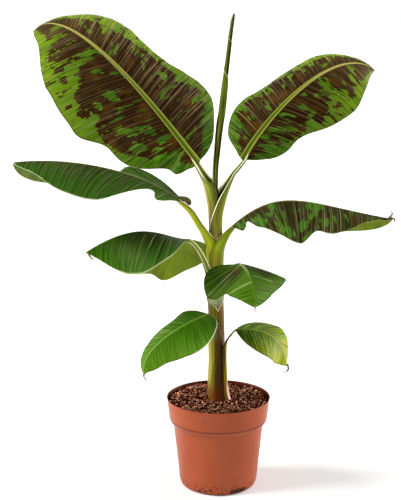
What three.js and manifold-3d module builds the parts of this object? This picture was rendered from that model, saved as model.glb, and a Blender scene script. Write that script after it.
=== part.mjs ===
// Banana plant in a nursery pot. Millimetres, +Z up, +X right, +Y away from the front.
// The origin is under the middle of the pot, on the flat that the pot stands on.
import * as THREE from 'three';
import { mergeVertices } from 'three/addons/utils/BufferGeometryUtils.js';
import Module from 'manifold-3d';

const wasm = await Module();
wasm.setup();

// Clearance between two pieces that touch on the real plant
const gap = 0.3;

// Pot: outer radii and heights, from the rim down to the flat underside
const pot = {
  height: 148,
  rimRadius: 85,
  bandFootRadius: 79.5,
  bandFootHeight: 113,
  shoulderRadius: 73,
  shoulderHeight: 104,
  heelRadius: 63,
  heelHeight: 9,
  underRadius: 56,
  heelRound: { radius: 60.5, height: 2.2 },
  stepUnderBand: { radius: 77.5, height: 108 },
  rimRound: { radius: 0.6, height: 1 },
  wall: 2.2,
  floor: 3,
  segments: 40,
};

// Drain slots at the pot's heel: three, one of them at the front right
const drain = { count: 3, firstAngle: 300, width: 26, outerRadius: 65, depth: 9, bottom: 0.8, height: 9 };

// Soil: its top lies a little under the rim and is slightly domed
const soil = { top: 142.5, edgeTop: 141, flatRadius: 22, insetInBand: 2.6 };

// Stem of nested leaf sheaths: [height, centre x, radius] from the soil to its open top
const stem = {
  rings: [
    [soil.top + gap, 0.5, 17],
    [155, -1.5, 15.6],
    [180, -2.8, 14.5],
    [231, -2.6, 12.9],
    [304, -3.8, 12.1],
    [379, -6, 11.6],
    [415, -5.6, 10.4],
    [430, -5.2, 9],
  ],
  segments: 24,
};

// Rolled young leaf on its stalk: [height, centre x, width]; it stands in the stem's open top
const spear = {
  depth: 5,
  rings: [
    [430 + gap, -5.5, 9],
    [513, -5.6, 9],
    [548, -2.9, 9.6],
    [583, 0.6, 9.8],
    [612, 4.2, 11.2],
    [648, 8.2, 10.5],
    [668, 10.2, 8],
    [706, 14.6, 6.2],
    [743, 19.4, 5],
    [759, 22.2, 2.2],
  ],
  segments: 12,
};

// Leaves. rib: the four control points of the midrib's curve. half: the widest half blade on the
// left and on the right, as seen from the stem. outline: where the round base ends, where the taper
// to the tip starts, and the taper's two powers. roll: turn about the midrib at base and tip.
// sweep: lean of the veins to the tip, at base and tip. bend: rise of a half blade beside the midrib
// and at its margin, at base, middle and tip (minus hangs down). dents: [place, depth, spread] along
// the margin (a minus depth is a lobe). stalk: points of its middle line. stalkHalf: its half widths.
const leaves = {
  upper_left: {
    rib: [[-33, 28, 527], [-77, 84, 575], [-246, 149, 797], [-311, 194, 725]],
    half: { left: 114, right: 97 },
    outline: [0.35, 0.53, 1.19, 1.06],
    roll: [-36, -20],
    sweep: [13, 31],
    bend: { left: [[3, -8, -4], [-37, -37, -9]], right: [[4, 6, 2], [-4, -30, -5]] },
    dents: {
      left: [[0.03, -0.85, 0.035], [0.39, -0.16, 0.1], [0.75, 0.11, 0.1]],
      right: [[0.2, -0.24, 0.09], [0.65, -0.18, 0.12]],
    },
    thickness: 4.2,
    ribDepth: 5,
    stations: 20,
    columns: 5,
    stalk: [[-6, 1, 400], [-7.5, 3, 425], [-9.8, 6, 447], [-13.8, 10, 470], [-20, 16, 492],
      [-28, 23, 514], [-33, 28, 527]],
    stalkHalf: [9.5, 10, 10.4, 10.4, 9.6, 8.4, 8],
    colour: '#4a5226',
  },
  upper_right: {
    rib: [[38, 25, 532], [69, 63, 589], [188, 108, 717], [260, 144, 664]],
    half: { left: 72, right: 87 },
    outline: [0.35, 0.43, 1.91, 0.97],
    roll: [38, 28],
    sweep: [22, 18],
    bend: { left: [[9, 4, 3], [-1, -47, 2]], right: [[-3, -10, -7], [-35, -37, -21]] },
    dents: {
      left: [[0.2, -0.18, 0.1], [0.7, -0.13, 0.11]],
      right: [[0.03, -0.8, 0.04], [0.21, 0.23, 0.11], [0.57, -0.06, 0.11]],
    },
    thickness: 3.2,
    ribDepth: 4,
    stations: 20,
    columns: 5,
    stalk: [[-4, 1, 400], [-2, 3, 425], [1, 6, 447], [5.5, 9, 470], [14.5, 14, 495],
      [27.5, 20, 518], [38, 25, 532]],
    stalkHalf: [8.4, 9, 9.4, 9.4, 8.8, 8, 7.6],
    colour: '#4a5226',
  },
  middle_left: {
    rib: [[-54, -14, 469], [-123, -17, 524], [-230, -41, 546], [-309, -78, 541]],
    half: { left: 79, right: 85 },
    outline: [0.12, 0.29, 1.53, 0.69],
    roll: [-1, 7],
    sweep: [52, 42],
    bend: { left: [[-13, -22, -22], [-9, -75, -50]], right: [[8, -18, -42], [6, -49, -57]] },
    dents: {
      left: [[0.25, 0.2, 0.1], [0.92, 0.29, 0.15]],
      right: [[0.23, 0.05, 0.1], [0.7, 0.09, 0.1]],
    },
    thickness: 2.9,
    ribDepth: 4,
    stations: 20,
    columns: 5,
    stalk: [[-8, -4, 340], [-12.5, -6, 375], [-19, -7, 405], [-28.8, -9, 434], [-42, -12, 457],
      [-54, -14, 469]],
    stalkHalf: [8.5, 9, 9.2, 9, 8.6, 8],
    colour: '#3f5a22',
  },
  middle_right: {
    rib: [[20, -4, 431], [96, -21, 503], [139, -17, 467], [266, -46, 449]],
    half: { left: 77, right: 83 },
    outline: [0.53, 0.48, 1.15, 0.64],
    roll: [4, -18],
    sweep: [9, 21],
    bend: { left: [[-21, -38, -47], [-32, -63, -68]], right: [[-15, -35, -17], [-10, -66, -27]] },
    dents: {
      left: [[0.82, 0.13, 0.09]],
      right: [[0.12, 0.24, 0.09], [0.62, 0.22, 0.07], [0.92, 0.35, 0.08]],
    },
    thickness: 2.8,
    ribDepth: 4,
    stations: 20,
    columns: 5,
    stalk: [[-4, -5, 335], [0, -6, 368], [5, -6, 394], [12, -5, 415], [20, -4, 431]],
    stalkHalf: [8.5, 8.6, 7.9, 7.2, 6.8],
    colour: '#46502a',
  },
  lower_left: {
    rib: [[-45, -44, 417], [-85, -33, 412], [-112, -47, 459], [-206, -60, 399]],
    half: { left: 90, right: 91 },
    outline: [0.12, 0.42, 2.24, 1.05],
    roll: [13, -7],
    sweep: [-12, 60],
    bend: { left: [[3, -8, -41], [-6, -80, -64]], right: [[-9, -41, -43], [-10, -88, -55]] },
    dents: {
      left: [[0.35, -0.15, 0.13], [0.68, 0.03, 0.1]],
      right: [[0.2, -0.25, 0.05], [0.59, 0.2, 0.12]],
    },
    thickness: 2,
    ribDepth: 3,
    stations: 18,
    columns: 5,
    stalk: [[-9, -9, 322], [-14, -13, 350], [-20, -20, 371], [-28, -29, 393], [-37, -38, 409],
      [-45, -44, 417]],
    stalkHalf: [5.8, 5.8, 5.3, 4.9, 4.6, 4.4],
    colour: '#3f6a20',
  },
  front: {
    rib: [[29, -47, 378], [25, -72, 389], [51, -116, 393], [51, -145, 335]],
    half: { left: 73, right: 71 },
    outline: [0.35, 0.34, 1.72, 0.77],
    roll: [-4, -6],
    sweep: [10, 11],
    bend: { left: [[-13, -8, -14], [-25, -22, -33]], right: [[-8, -40, 1], [9, -52, -5]] },
    dents: { left: [[0.81, 0.06, 0.1]], right: [[0.35, -0.03, 0.1], [0.69, 0.16, 0.1]] },
    thickness: 1.8,
    ribDepth: 3,
    stations: 16,
    columns: 5,
    stalk: [[-4, -4, 258], [-5, -11, 290], [-6, -20, 318], [4, -29, 342], [20, -38, 365], [29, -47, 378]],
    stalkHalf: [6, 5, 12, 9, 6, 4.5],
    colour: '#3f5f20',
  },
  foot_left: {
    rib: [[-15, -34, 294], [-40, -58, 295], [-128, -89, 257], [-115, -103, 217]],
    half: { left: 65, right: 37 },
    outline: [0.16, 0.2, 1.49, 0.98],
    roll: [-8, -6],
    sweep: [19, 47],
    bend: { left: [[8, -11, -7], [11, -29, -13]], right: [[6, -6, -9], [5, -10, -19]] },
    dents: {
      left: [[0.19, -0.16, 0.12], [0.56, 0.07, 0.11]],
      right: [[0.28, 0.12, 0.11], [0.68, -0.11, 0.1]],
    },
    thickness: 1.8,
    ribDepth: 2.5,
    stations: 16,
    columns: 4,
    stalk: [[-4, -4, 225], [-6, -8, 250], [-8, -13, 270], [-11, -24, 288], [-15, -34, 294]],
    stalkHalf: [6, 6, 5.5, 4.4, 3.8],
    colour: '#3f7a1e',
  },
  foot_right: {
    rib: [[26, -29, 268], [48, -32, 270], [98, -46, 279], [106, -58, 218]],
    half: { left: 52, right: 60 },
    outline: [0.35, 0.36, 1.73, 0.83],
    roll: [11, 4],
    sweep: [21, 44],
    bend: { left: [[1, -9, -8], [-6, -17, -15]], right: [[-3, -3, -11], [-22, -29, -19]] },
    dents: { left: [[0.38, -0.1, 0.1], [0.67, 0.07, 0.1]], right: [] },
    thickness: 1.6,
    ribDepth: 2,
    stations: 14,
    columns: 4,
    stalk: [[13, -6, 146], [9.5, -7, 168], [9, -8, 200], [8.8, -10, 228], [11.5, -15, 244],
      [18.5, -22, 257], [26, -29, 268]],
    stalkHalf: [5, 5.2, 5.2, 4.3, 3.1, 2.7, 2.6],
    colour: '#7d9a35',
  },
};

// The stalks in the order in which their sheaths wrap the stem, from the inside out
const sheathOrder = Object.keys(leaves);

// Lines across a stalk and along it
const stalkSegments = 12;
const stalkSteps = 14;
const stalkFlatness = 0.82;

// Blade: its half width at its ends, the half width of its midrib, each at base (as a share of the
// stalk's) and tip, and the most of the blade that the midrib takes
const narrowest = { base: 0.9, tip: 1.4 };
const ribHalf = { base: 0.55, tip: 0.8, most: 0.85 };
const ribDepthAtTip = 0.3;

// Growths of a blade that cut its own stalk: several, so that no slanted edge of it comes too near
const bladeGrowths = [0.6, gap, 0];

// How far the lines along a blade crowd at its ends, and the power that crowds them at its midrib
const endCrowding = 0.6;
const ribCrowding = 1.2;

const degrees = Math.PI / 180;
const point = (p) => new THREE.Vector3(...p);
const mix = (a, b, t) => a + (b - a) * t;

// Value of a smooth curve through three values at 0, a half and 1
function throughThree([first, middle, last], t) {
  return first * (1 - t) * (1 - 2 * t) + 4 * middle * t * (1 - t) + last * t * (2 * t - 1);
}

// Value at t of a row of values spread evenly over 0 to 1
function alongRow(values, t) {
  const place = t * (values.length - 1);
  const index = Math.min(Math.floor(place), values.length - 2);
  return mix(values[index], values[index + 1], place - index);
}

// A closed solid from rings of points, each ring closed and all with as many points
function solidFromRings(rings) {
  const count = rings[0].length;
  const positions = rings.flat().flatMap((p) => [p.x, p.y, p.z]);
  const faces = [];
  for (let i = 0; i < rings.length - 1; i += 1) {
    for (let j = 0; j < count; j += 1) {
      const a = i * count + j;
      const b = i * count + ((j + 1) % count);
      faces.push(a, b, b + count, a, b + count, a + count);
    }
  }
  [0, rings.length - 1].forEach((i) => {
    const middle = new THREE.Vector3();
    rings[i].forEach((p) => middle.addScaledVector(p, 1 / count));
    const centre = positions.length / 3;
    positions.push(middle.x, middle.y, middle.z);
    for (let j = 0; j < count; j += 1) {
      const a = i * count + j;
      const b = i * count + ((j + 1) % count);
      faces.push(...(i === 0 ? [centre, b, a] : [centre, a, b]));
    }
  });
  return closedGeometry(positions, faces);
}

// A geometry with its faces turned outward, whichever way the rings ran
function closedGeometry(positions, faces) {
  const corner = (i) => new THREE.Vector3().fromArray(positions, 3 * i);
  let volume = 0;
  for (let i = 0; i < faces.length; i += 3) {
    volume += corner(faces[i]).dot(corner(faces[i + 1]).cross(corner(faces[i + 2])));
  }
  const outward = volume > 0 ? faces : faces.slice().reverse();
  const geometry = new THREE.BufferGeometry();
  geometry.setAttribute('position', new THREE.Float32BufferAttribute(positions, 3));
  geometry.setIndex(outward);
  return geometry;
}

// A geometry of positions only, its equal corners joined
function joined(geometry) {
  const bare = geometry.clone();
  bare.deleteAttribute('normal');
  bare.deleteAttribute('uv');
  return mergeVertices(bare, 1e-4);
}

// A turned shape about the pot's axis from its [radius, height] corners
function turned(profile) {
  const lathe = new THREE.LatheGeometry(profile.map(([r, z]) => new THREE.Vector2(r, z)), pot.segments);
  lathe.rotateX(Math.PI / 2);
  lathe.scale(1, -1, 1);
  const closed = joined(lathe);
  return closedGeometry(Array.from(closed.attributes.position.array), Array.from(closed.index.array));
}

// Geometry to solid and back, for cuts
function toSolid(geometry) {
  const merged = joined(geometry);
  return new wasm.Manifold(new wasm.Mesh({
    numProp: 3,
    vertProperties: new Float32Array(merged.attributes.position.array),
    triVerts: new Uint32Array(merged.index.array),
  }));
}

function toGeometry(solid) {
  const largest = solid.decompose().sort((a, b) => b.volume() - a.volume())[0];
  const mesh = largest.getMesh();
  const geometry = new THREE.BufferGeometry();
  geometry.setAttribute('position', new THREE.Float32BufferAttribute(mesh.vertProperties, 3));
  geometry.setIndex(Array.from(mesh.triVerts));
  return geometry;
}

// Level rings for the stem and the rolled leaf
function levelRing(x, y, z, radius, segments) {
  return Array.from({ length: segments }, (_, i) => {
    const angle = (2 * Math.PI * i) / segments;
    return new THREE.Vector3(x + radius * Math.cos(angle), y + radius * Math.sin(angle), z);
  });
}

function stemGeometry(grow) {
  const rings = stem.rings.map(([z, x, radius], i) => {
    const shift = i === stem.rings.length - 1 ? grow : 0;
    return levelRing(x, 0, z + shift, radius + grow, stem.segments);
  });
  return solidFromRings(rings);
}

function spearGeometry(grow) {
  const rings = spear.rings.map(([z, x, width], i) => {
    const shift = i === 0 ? -grow : 0;
    return levelRing(x, spear.depth, z + shift, width / 2 + grow, spear.segments);
  });
  return solidFromRings(rings);
}

// The midrib's curve, its direction and the two directions across it, at t
function ribFrame(leaf, t) {
  const curve = new THREE.CubicBezierCurve3(...leaf.rib.map(point));
  const along = curve.getTangent(t);
  const heading = point(leaf.rib[3]).sub(point(leaf.rib[0])).setZ(0).normalize();
  const level = new THREE.Vector3(heading.y, -heading.x, 0);
  const side = level.clone().addScaledVector(along, -level.dot(along)).normalize();
  const up = side.clone().cross(along);
  const roll = mix(leaf.roll[0], leaf.roll[1], t) * degrees;
  const right = side.clone().multiplyScalar(Math.cos(roll)).addScaledVector(up, -Math.sin(roll));
  const over = up.clone().multiplyScalar(Math.cos(roll)).addScaledVector(side, Math.sin(roll));
  return { origin: curve.getPoint(t), along, right, over };
}

// Half width of a blade at t: round at its base, tapered to its tip, with its dents and lobes
function halfWidth(leaf, side, t) {
  const [baseEnd, taperStart, firstPower, secondPower] = leaf.outline;
  const fromBase = 1 - Math.min(t / baseEnd, 1);
  const round = Math.sqrt(1 - fromBase ** 2);
  const toTip = Math.max((t - taperStart) / (1 - taperStart), 0);
  const taper = Math.max(1 - toTip ** firstPower, 0) ** secondPower;
  let width = leaf.half[side] * round * taper;
  leaf.dents[side].forEach(([place, depth, spread]) => {
    width *= 1 - depth * Math.exp(-(((t - place) / spread) ** 2));
  });
  return Math.max(width, mix(narrowest.base * leaf.stalkHalf.at(-1), narrowest.tip, t));
}

// A point of a half blade: a vein leaves the midrib, leans to the tip and bends as an arc
function bladePoint(leaf, side, t, across, frame) {
  const width = halfWidth(leaf, side, t);
  const [inner, outer] = leaf.bend[side].map((row) => throughThree(row, t) * degrees);
  const sweep = mix(leaf.sweep[0], leaf.sweep[1], t) * degrees;
  const sign = side === 'right' ? 1 : -1;
  const outward = frame.right.clone().multiplyScalar(sign * Math.cos(sweep));
  outward.addScaledVector(frame.along, Math.sin(sweep));
  const halfTurn = ((outer - inner) / 2) * across;
  const chord = width * across * (Math.abs(halfTurn) > 1e-6 ? Math.sin(halfTurn) / halfTurn : 1);
  return frame.origin.clone()
    .addScaledVector(outward, chord * Math.cos(inner + halfTurn))
    .addScaledVector(frame.over, chord * Math.sin(inner + halfTurn));
}

// The blade's normal, from two short steps on its surface, on the side that faces up
function bladeNormal(leaf, side, t, across) {
  const step = 0.01;
  const before = Math.max(t - step, 0);
  const after = Math.min(t + step, 1);
  const inside = Math.max(across - step, 0);
  const outside = Math.min(across + step, 1);
  const frame = ribFrame(leaf, t);
  const alongStep = bladePoint(leaf, side, after, across, ribFrame(leaf, after))
    .sub(bladePoint(leaf, side, before, across, ribFrame(leaf, before)));
  const acrossStep = bladePoint(leaf, side, t, outside, frame)
    .sub(bladePoint(leaf, side, t, inside, frame));
  const normal = acrossStep.cross(alongStep).normalize();
  return side === 'right' ? normal : normal.negate();
}

// One leaf blade: a skin on each side of the middle surface, with the midrib standing out below
function bladeGeometry(leaf, grow) {
  const steps = Array.from({ length: leaf.stations }, (_, i) => i / (leaf.stations - 1));
  const places = [];
  for (let j = leaf.columns; j > 0; j -= 1) places.push(['left', j]);
  places.push(['middle', 0]);
  for (let j = 1; j <= leaf.columns; j += 1) places.push(['right', j]);
  const half = leaf.thickness / 2 + grow;
  const rings = steps.map((s) => {
    const t = mix(s, (1 - Math.cos(Math.PI * s)) / 2, endCrowding);
    const frame = ribFrame(leaf, t);
    const endward = t < 0.5 ? -grow : grow;
    const top = [];
    const bottom = [];
    places.forEach(([side, column]) => {
      if (side === 'middle') {
        const left = bladeNormal(leaf, 'left', t, 0);
        const right = bladeNormal(leaf, 'right', t, 0);
        const mitre = left.clone().add(right).divideScalar(Math.max(1 + left.dot(right), 0.5));
        const depth = mix(leaf.ribDepth, ribDepthAtTip, t);
        top.push(frame.origin.clone().addScaledVector(mitre, half));
        bottom.push(frame.origin.clone().addScaledVector(mitre, -half).addScaledVector(frame.over, -depth));
        return;
      }
      const width = halfWidth(leaf, side, t);
      const ribEdge = Math.min((mix(ribHalf.base * leaf.stalkHalf.at(-1), ribHalf.tip, t) + grow) / width,
        ribHalf.most);
      const across = mix(ribEdge, 1, ((column - 1) / (leaf.columns - 1)) ** ribCrowding);
      const atMargin = column === leaf.columns;
      const place = bladePoint(leaf, side, t, atMargin ? 1 + grow / width : across, frame);
      if (atMargin) place.addScaledVector(frame.along, endward);
      const normal = bladeNormal(leaf, side, t, across);
      top.push(place.clone().addScaledVector(normal, half));
      bottom.push(place.clone().addScaledVector(normal, -half));
    });
    const shift = s === 0 || s === 1 ? endward : 0;
    return top.concat(bottom.reverse()).map((p) => p.addScaledVector(frame.along, shift));
  });
  return solidFromStrips(rings, places.length);
}

// As solidFromRings, with each end closed by a strip across the blade's thickness
function solidFromStrips(rings, width) {
  const count = rings[0].length;
  const last = (rings.length - 1) * count;
  const positions = rings.flat().flatMap((p) => [p.x, p.y, p.z]);
  const faces = [];
  for (let i = 0; i < rings.length - 1; i += 1) {
    for (let j = 0; j < count; j += 1) {
      const a = i * count + j;
      const b = i * count + ((j + 1) % count);
      faces.push(a, b, b + count, a, b + count, a + count);
    }
  }
  for (let j = 0; j < width - 1; j += 1) {
    const top = j;
    const under = count - 1 - j;
    const lastTop = top + last;
    const lastUnder = under + last;
    faces.push(top + 1, top, under, top + 1, under, under - 1);
    faces.push(lastTop, lastTop + 1, lastUnder, lastTop + 1, lastUnder - 1, lastUnder);
  }
  return closedGeometry(positions, faces);
}

// One leaf stalk with its sheath: flattened rings along a smooth curve, wider where it clasps
function stalkGeometry(leaf, grow) {
  const curve = new THREE.CatmullRomCurve3(leaf.stalk.map(point), false, 'centripetal');
  const heading = point(leaf.rib[3]).sub(point(leaf.rib[0])).setZ(0).normalize();
  const level = new THREE.Vector3(heading.y, -heading.x, 0);
  const rings = Array.from({ length: stalkSteps + 1 }, (_, i) => {
    const t = i / stalkSteps;
    const along = curve.getTangent(t);
    const side = level.clone().addScaledVector(along, -level.dot(along)).normalize();
    const up = side.clone().cross(along);
    const half = alongRow(leaf.stalkHalf, t);
    const shift = { 0: -grow, [stalkSteps]: grow }[i] ?? 0;
    return Array.from({ length: stalkSegments }, (_, j) => {
      const angle = (2 * Math.PI * j) / stalkSegments;
      return curve.getPoint(t)
        .addScaledVector(along, shift)
        .addScaledVector(side, (half + grow) * Math.cos(angle))
        .addScaledVector(up, (half * stalkFlatness + grow) * Math.sin(angle));
    });
  });
  return solidFromRings(rings);
}

// The pot: a turned shell with a band round its rim, a rounded heel and a flat underside
function potGeometry() {
  const w = pot.wall;
  const profile = [
    [0, 0],
    [pot.underRadius, 0],
    [pot.heelRound.radius, pot.heelRound.height],
    [pot.heelRadius, pot.heelHeight],
    [pot.shoulderRadius, pot.shoulderHeight],
    [pot.stepUnderBand.radius, pot.stepUnderBand.height],
    [pot.bandFootRadius, pot.bandFootHeight],
    [pot.rimRadius, pot.height - pot.rimRound.height],
    [pot.rimRadius - pot.rimRound.radius, pot.height],
    [pot.rimRadius - w, pot.height],
    [pot.bandFootRadius - w, pot.bandFootHeight],
    [pot.shoulderRadius - w, pot.shoulderHeight],
    [pot.heelRadius - w, pot.heelHeight],
    [pot.underRadius, pot.floor],
    [0, pot.floor],
  ];
  let solid = toSolid(turned(profile));
  for (let i = 0; i < drain.count; i += 1) {
    const cutter = new THREE.BoxGeometry(drain.depth, drain.width, drain.height);
    cutter.translate(drain.outerRadius - drain.depth / 2, 0, drain.bottom + drain.height / 2);
    cutter.rotateZ((drain.firstAngle + (360 / drain.count) * i) * degrees);
    solid = solid.subtract(toSolid(cutter));
  }
  return toGeometry(solid);
}

// Soil: fills the pot inside its wall, up to a slightly domed top
function soilGeometry() {
  const inset = pot.wall + gap;
  const bandInset = soil.insetInBand;
  const onBand = (soil.edgeTop - pot.bandFootHeight) / (pot.height - pot.bandFootHeight);
  const profile = [
    [0, pot.floor + gap],
    [pot.underRadius - gap, pot.floor + gap],
    [pot.heelRadius - inset, pot.heelHeight],
    [pot.shoulderRadius - inset, pot.shoulderHeight],
    [pot.bandFootRadius - bandInset, pot.bandFootHeight],
    [mix(pot.bandFootRadius, pot.rimRadius, onBand) - bandInset, soil.edgeTop],
    [soil.flatRadius, soil.top],
    [0, soil.top],
  ];
  return turned(profile);
}

const plant = new THREE.Group();

function add(name, geometry, colour, roughness) {
  const material = new THREE.MeshStandardMaterial({ color: colour, roughness, metalness: 0 });
  const mesh = new THREE.Mesh(geometry, material);
  mesh.name = name;
  plant.add(mesh);
}

add('pot', potGeometry(), '#b5643c', 0.55);
add('soil', soilGeometry(), '#3a2419', 1);
add('stem', stemGeometry(0), '#6f7436', 0.5);
add('leaf_spear', spearGeometry(0), '#5c6b2a', 0.45);

// Each stalk is cut clear of the stem, the rolled leaf, the stalks inside it and its own blade
const inner = [toSolid(stemGeometry(gap)), toSolid(spearGeometry(gap))];
sheathOrder.forEach((name) => {
  const leaf = leaves[name];
  let solid = toSolid(stalkGeometry(leaf, 0));
  inner.forEach((other) => {
    solid = solid.subtract(other);
  });
  bladeGrowths.forEach((grow) => {
    solid = solid.subtract(toSolid(bladeGeometry(leaf, grow)));
  });
  inner.push(toSolid(stalkGeometry(leaf, gap)));
  add(`stalk_${name}`, toGeometry(solid), '#9aa63a', 0.45);
  add(`leaf_${name}`, bladeGeometry(leaf, 0), leaf.colour, 0.45);
});

export default plant;
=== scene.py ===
import math

import bpy
import numpy as np
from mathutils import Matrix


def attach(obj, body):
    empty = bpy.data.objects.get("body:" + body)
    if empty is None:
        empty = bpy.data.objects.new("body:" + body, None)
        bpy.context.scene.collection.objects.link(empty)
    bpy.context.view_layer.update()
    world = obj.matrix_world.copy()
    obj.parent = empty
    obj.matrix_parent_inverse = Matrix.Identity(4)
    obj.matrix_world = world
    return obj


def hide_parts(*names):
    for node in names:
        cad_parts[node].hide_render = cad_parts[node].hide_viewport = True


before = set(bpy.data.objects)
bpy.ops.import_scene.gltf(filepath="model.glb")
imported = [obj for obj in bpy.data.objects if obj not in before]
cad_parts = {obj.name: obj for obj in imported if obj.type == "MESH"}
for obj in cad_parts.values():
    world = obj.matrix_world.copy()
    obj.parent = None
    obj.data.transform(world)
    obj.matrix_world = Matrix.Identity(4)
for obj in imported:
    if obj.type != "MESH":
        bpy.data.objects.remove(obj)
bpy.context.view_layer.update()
mm = 0.001
print("frame loaded")


# Numbers and curves

def unit(v):  # vectors of length one along the last axis
    return v / np.maximum(np.linalg.norm(v, axis=-1, keepdims=True), 1e-12)


def smoothstep(low, high, x):  # 0 below low, 1 above high, smooth between
    q = np.clip((x - low) / (high - low), 0, 1)
    return q * q * (3 - 2 * q)


def bell(x, place, spread):  # 1 at the place, falling smoothly on both sides
    return np.exp(-((x - place) / spread) ** 2)


def between(pair, share):  # from the first value to the second
    return pair[0] + (pair[1] - pair[0]) * share


def lengths(points):  # distance along a row of points from its first one
    return np.r_[0, np.cumsum(np.linalg.norm(np.diff(points, axis=0), axis=1))]


def throughThree(row, t):  # the parabola through three values at 0, a half and 1
    first, middle, last = row
    return first * (1 - t) * (1 - 2 * t) + 4 * middle * t * (1 - t) + last * t * (2 * t - 1)


def alongRow(row, t):  # straight lines through values spread evenly over 0 to 1
    return np.interp(t, np.linspace(0, 1, len(row)), row)


def smoothRows(rows, count):
    # Catmull-Rom spline through the rows, even in the length of the line through their first three columns
    rows = np.asarray(rows, float)
    padded = np.vstack([2 * rows[0] - rows[1], rows, 2 * rows[-1] - rows[-2]])
    fine = np.linspace(0, len(rows) - 1 - 1e-9, 40 * len(rows))
    index = fine.astype(int)
    q = (fine - index)[:, None]
    a, b, c, d = (padded[index + k] for k in range(4))
    curve = 0.5 * (2 * b + (c - a) * q + (2 * a - 5 * b + 4 * c - d) * q ** 2
                   + (3 * b - a - 3 * c + d) * q ** 3)
    length = lengths(curve[:, :3])
    even = np.linspace(0, length[-1], count)
    return np.stack([np.interp(even, length, column) for column in curve.T], 1)


def grain(x, y, seed):
    # Smooth noise from -1 to 1: random values on whole numbers, blended between them
    lattice = np.random.default_rng(seed).uniform(-1, 1, (64, 64))
    x, y = np.broadcast_arrays(np.asarray(x, float), np.asarray(y, float))
    ix, iy = np.floor(x).astype(int), np.floor(y).astype(int)
    fx, fy = x - ix, y - iy
    fx, fy = fx * fx * (3 - 2 * fx), fy * fy * (3 - 2 * fy)
    at = lambda i, j: lattice[(ix + i) % 64, (iy + j) % 64]
    low = at(0, 0) * (1 - fx) + at(1, 0) * fx
    high = at(0, 1) * (1 - fx) + at(1, 1) * fx
    return low * (1 - fy) + high * fy


# Meshes from grids

def roundTurn(count):  # the angles of a closed ring of points
    return np.linspace(0, 2 * np.pi, count, endpoint=False)[None, :]


def ringPoints(centre, radius, angle):  # a level ring of points round each centre
    return centre[:, None] + np.stack([radius * np.cos(angle), radius * np.sin(angle), 0 * radius], -1)


def surfaceMap(u, v):  # UV in metres from lengths in mm along and round a piece
    return np.stack(np.broadcast_arrays(u * mm, v * mm), -1)


def addObject(name, data):
    thing = bpy.data.objects.new(name, data)
    bpy.context.scene.collection.objects.link(thing)
    return thing


def meshPiece(name, points, faces, replaced, materials, faceMaterial=None, uv=None, marks=None):
    # One piece of the plant: points in mm, outward faces, a UV per point and named values per point
    points = np.asarray(points, float).reshape(-1, 3)
    faces = np.asarray(faces)
    a, b, c = (points[faces[:, k]] for k in range(3))
    volume = np.einsum("ij,ij->i", a, np.cross(b, c)).sum()
    if faces.shape[1] == 4:
        volume += np.einsum("ij,ij->i", a, np.cross(c, points[faces[:, 3]])).sum()
    if volume < 0:
        faces = faces[:, ::-1]
    mesh = bpy.data.meshes.new(name)
    mesh.from_pydata(points * mm, [], faces)
    mesh.shade_smooth()
    for material in materials:
        mesh.materials.append(material)
    if faceMaterial is not None:
        mesh.polygons.foreach_set("material_index", np.asarray(faceMaterial, np.int32))
    loopPoint = np.empty(len(mesh.loops), np.int32)
    mesh.loops.foreach_get("vertex_index", loopPoint)
    if uv is not None:
        layer = mesh.uv_layers.new(name="surface")
        layer.data.foreach_set("uv", uv.reshape(-1, 2)[loopPoint].astype(np.float32).ravel())
    for key, values in (marks or {}).items():
        attribute = mesh.attributes.new(key, "FLOAT", "POINT")
        attribute.data.foreach_set("value", values.astype(np.float32).ravel())
    piece = addObject(name, mesh)
    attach(piece, "root")
    if replaced:
        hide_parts(*replaced)


def closedFaces(rings, count):
    # Quads between closed rings of count points each, and a strip of quads across the first and last ring
    i, j = np.meshgrid(np.arange(rings - 1), np.arange(count), indexing="ij")
    a = i * count + j
    b = i * count + (j + 1) % count
    sides = np.stack([a, b, b + count, a + count], -1).reshape(-1, 4)
    j = np.arange(count // 2 - 1)
    start = np.stack([j + 1, j, count - 1 - j, count - 2 - j], -1)
    end = start[:, ::-1] + (rings - 1) * count
    return np.vstack([sides, start, end])


def shellPiece(name, upper, lower, replaced, materials, uv, marks):
    # A closed shell from two grids of points: each ring runs over the upper skin and back under the
    # lower one. Both skins have the same UV and marks, and materials are for upper, lower and margin.
    rings, columns = upper.shape[:2]
    both = lambda grid: np.concatenate([grid, grid[:, ::-1]], 1)
    marks = {key: both(np.broadcast_to(values, (rings, columns))) for key, values in marks.items()}
    skin = np.tile(np.r_[np.zeros(columns - 1), 2, np.ones(columns - 1), 2], rings - 1)
    skin = np.r_[skin, np.full(2 * (columns - 1), 2)].astype(int)
    points = np.concatenate([upper, lower[:, ::-1]], 1)
    meshPiece(name, points, closedFaces(rings, 2 * columns), replaced, materials, skin,
              both(uv), marks)


def tubePiece(name, rings, replaced, material, uv=None, marks=None):
    # Closed rings of points, one after another, in one material
    marks = {key: np.broadcast_to(values, rings.shape[:2]) for key, values in (marks or {}).items()}
    meshPiece(name, rings, closedFaces(*rings.shape[:2]), replaced, [material], None, uv, marks)


# Material nodes

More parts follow.
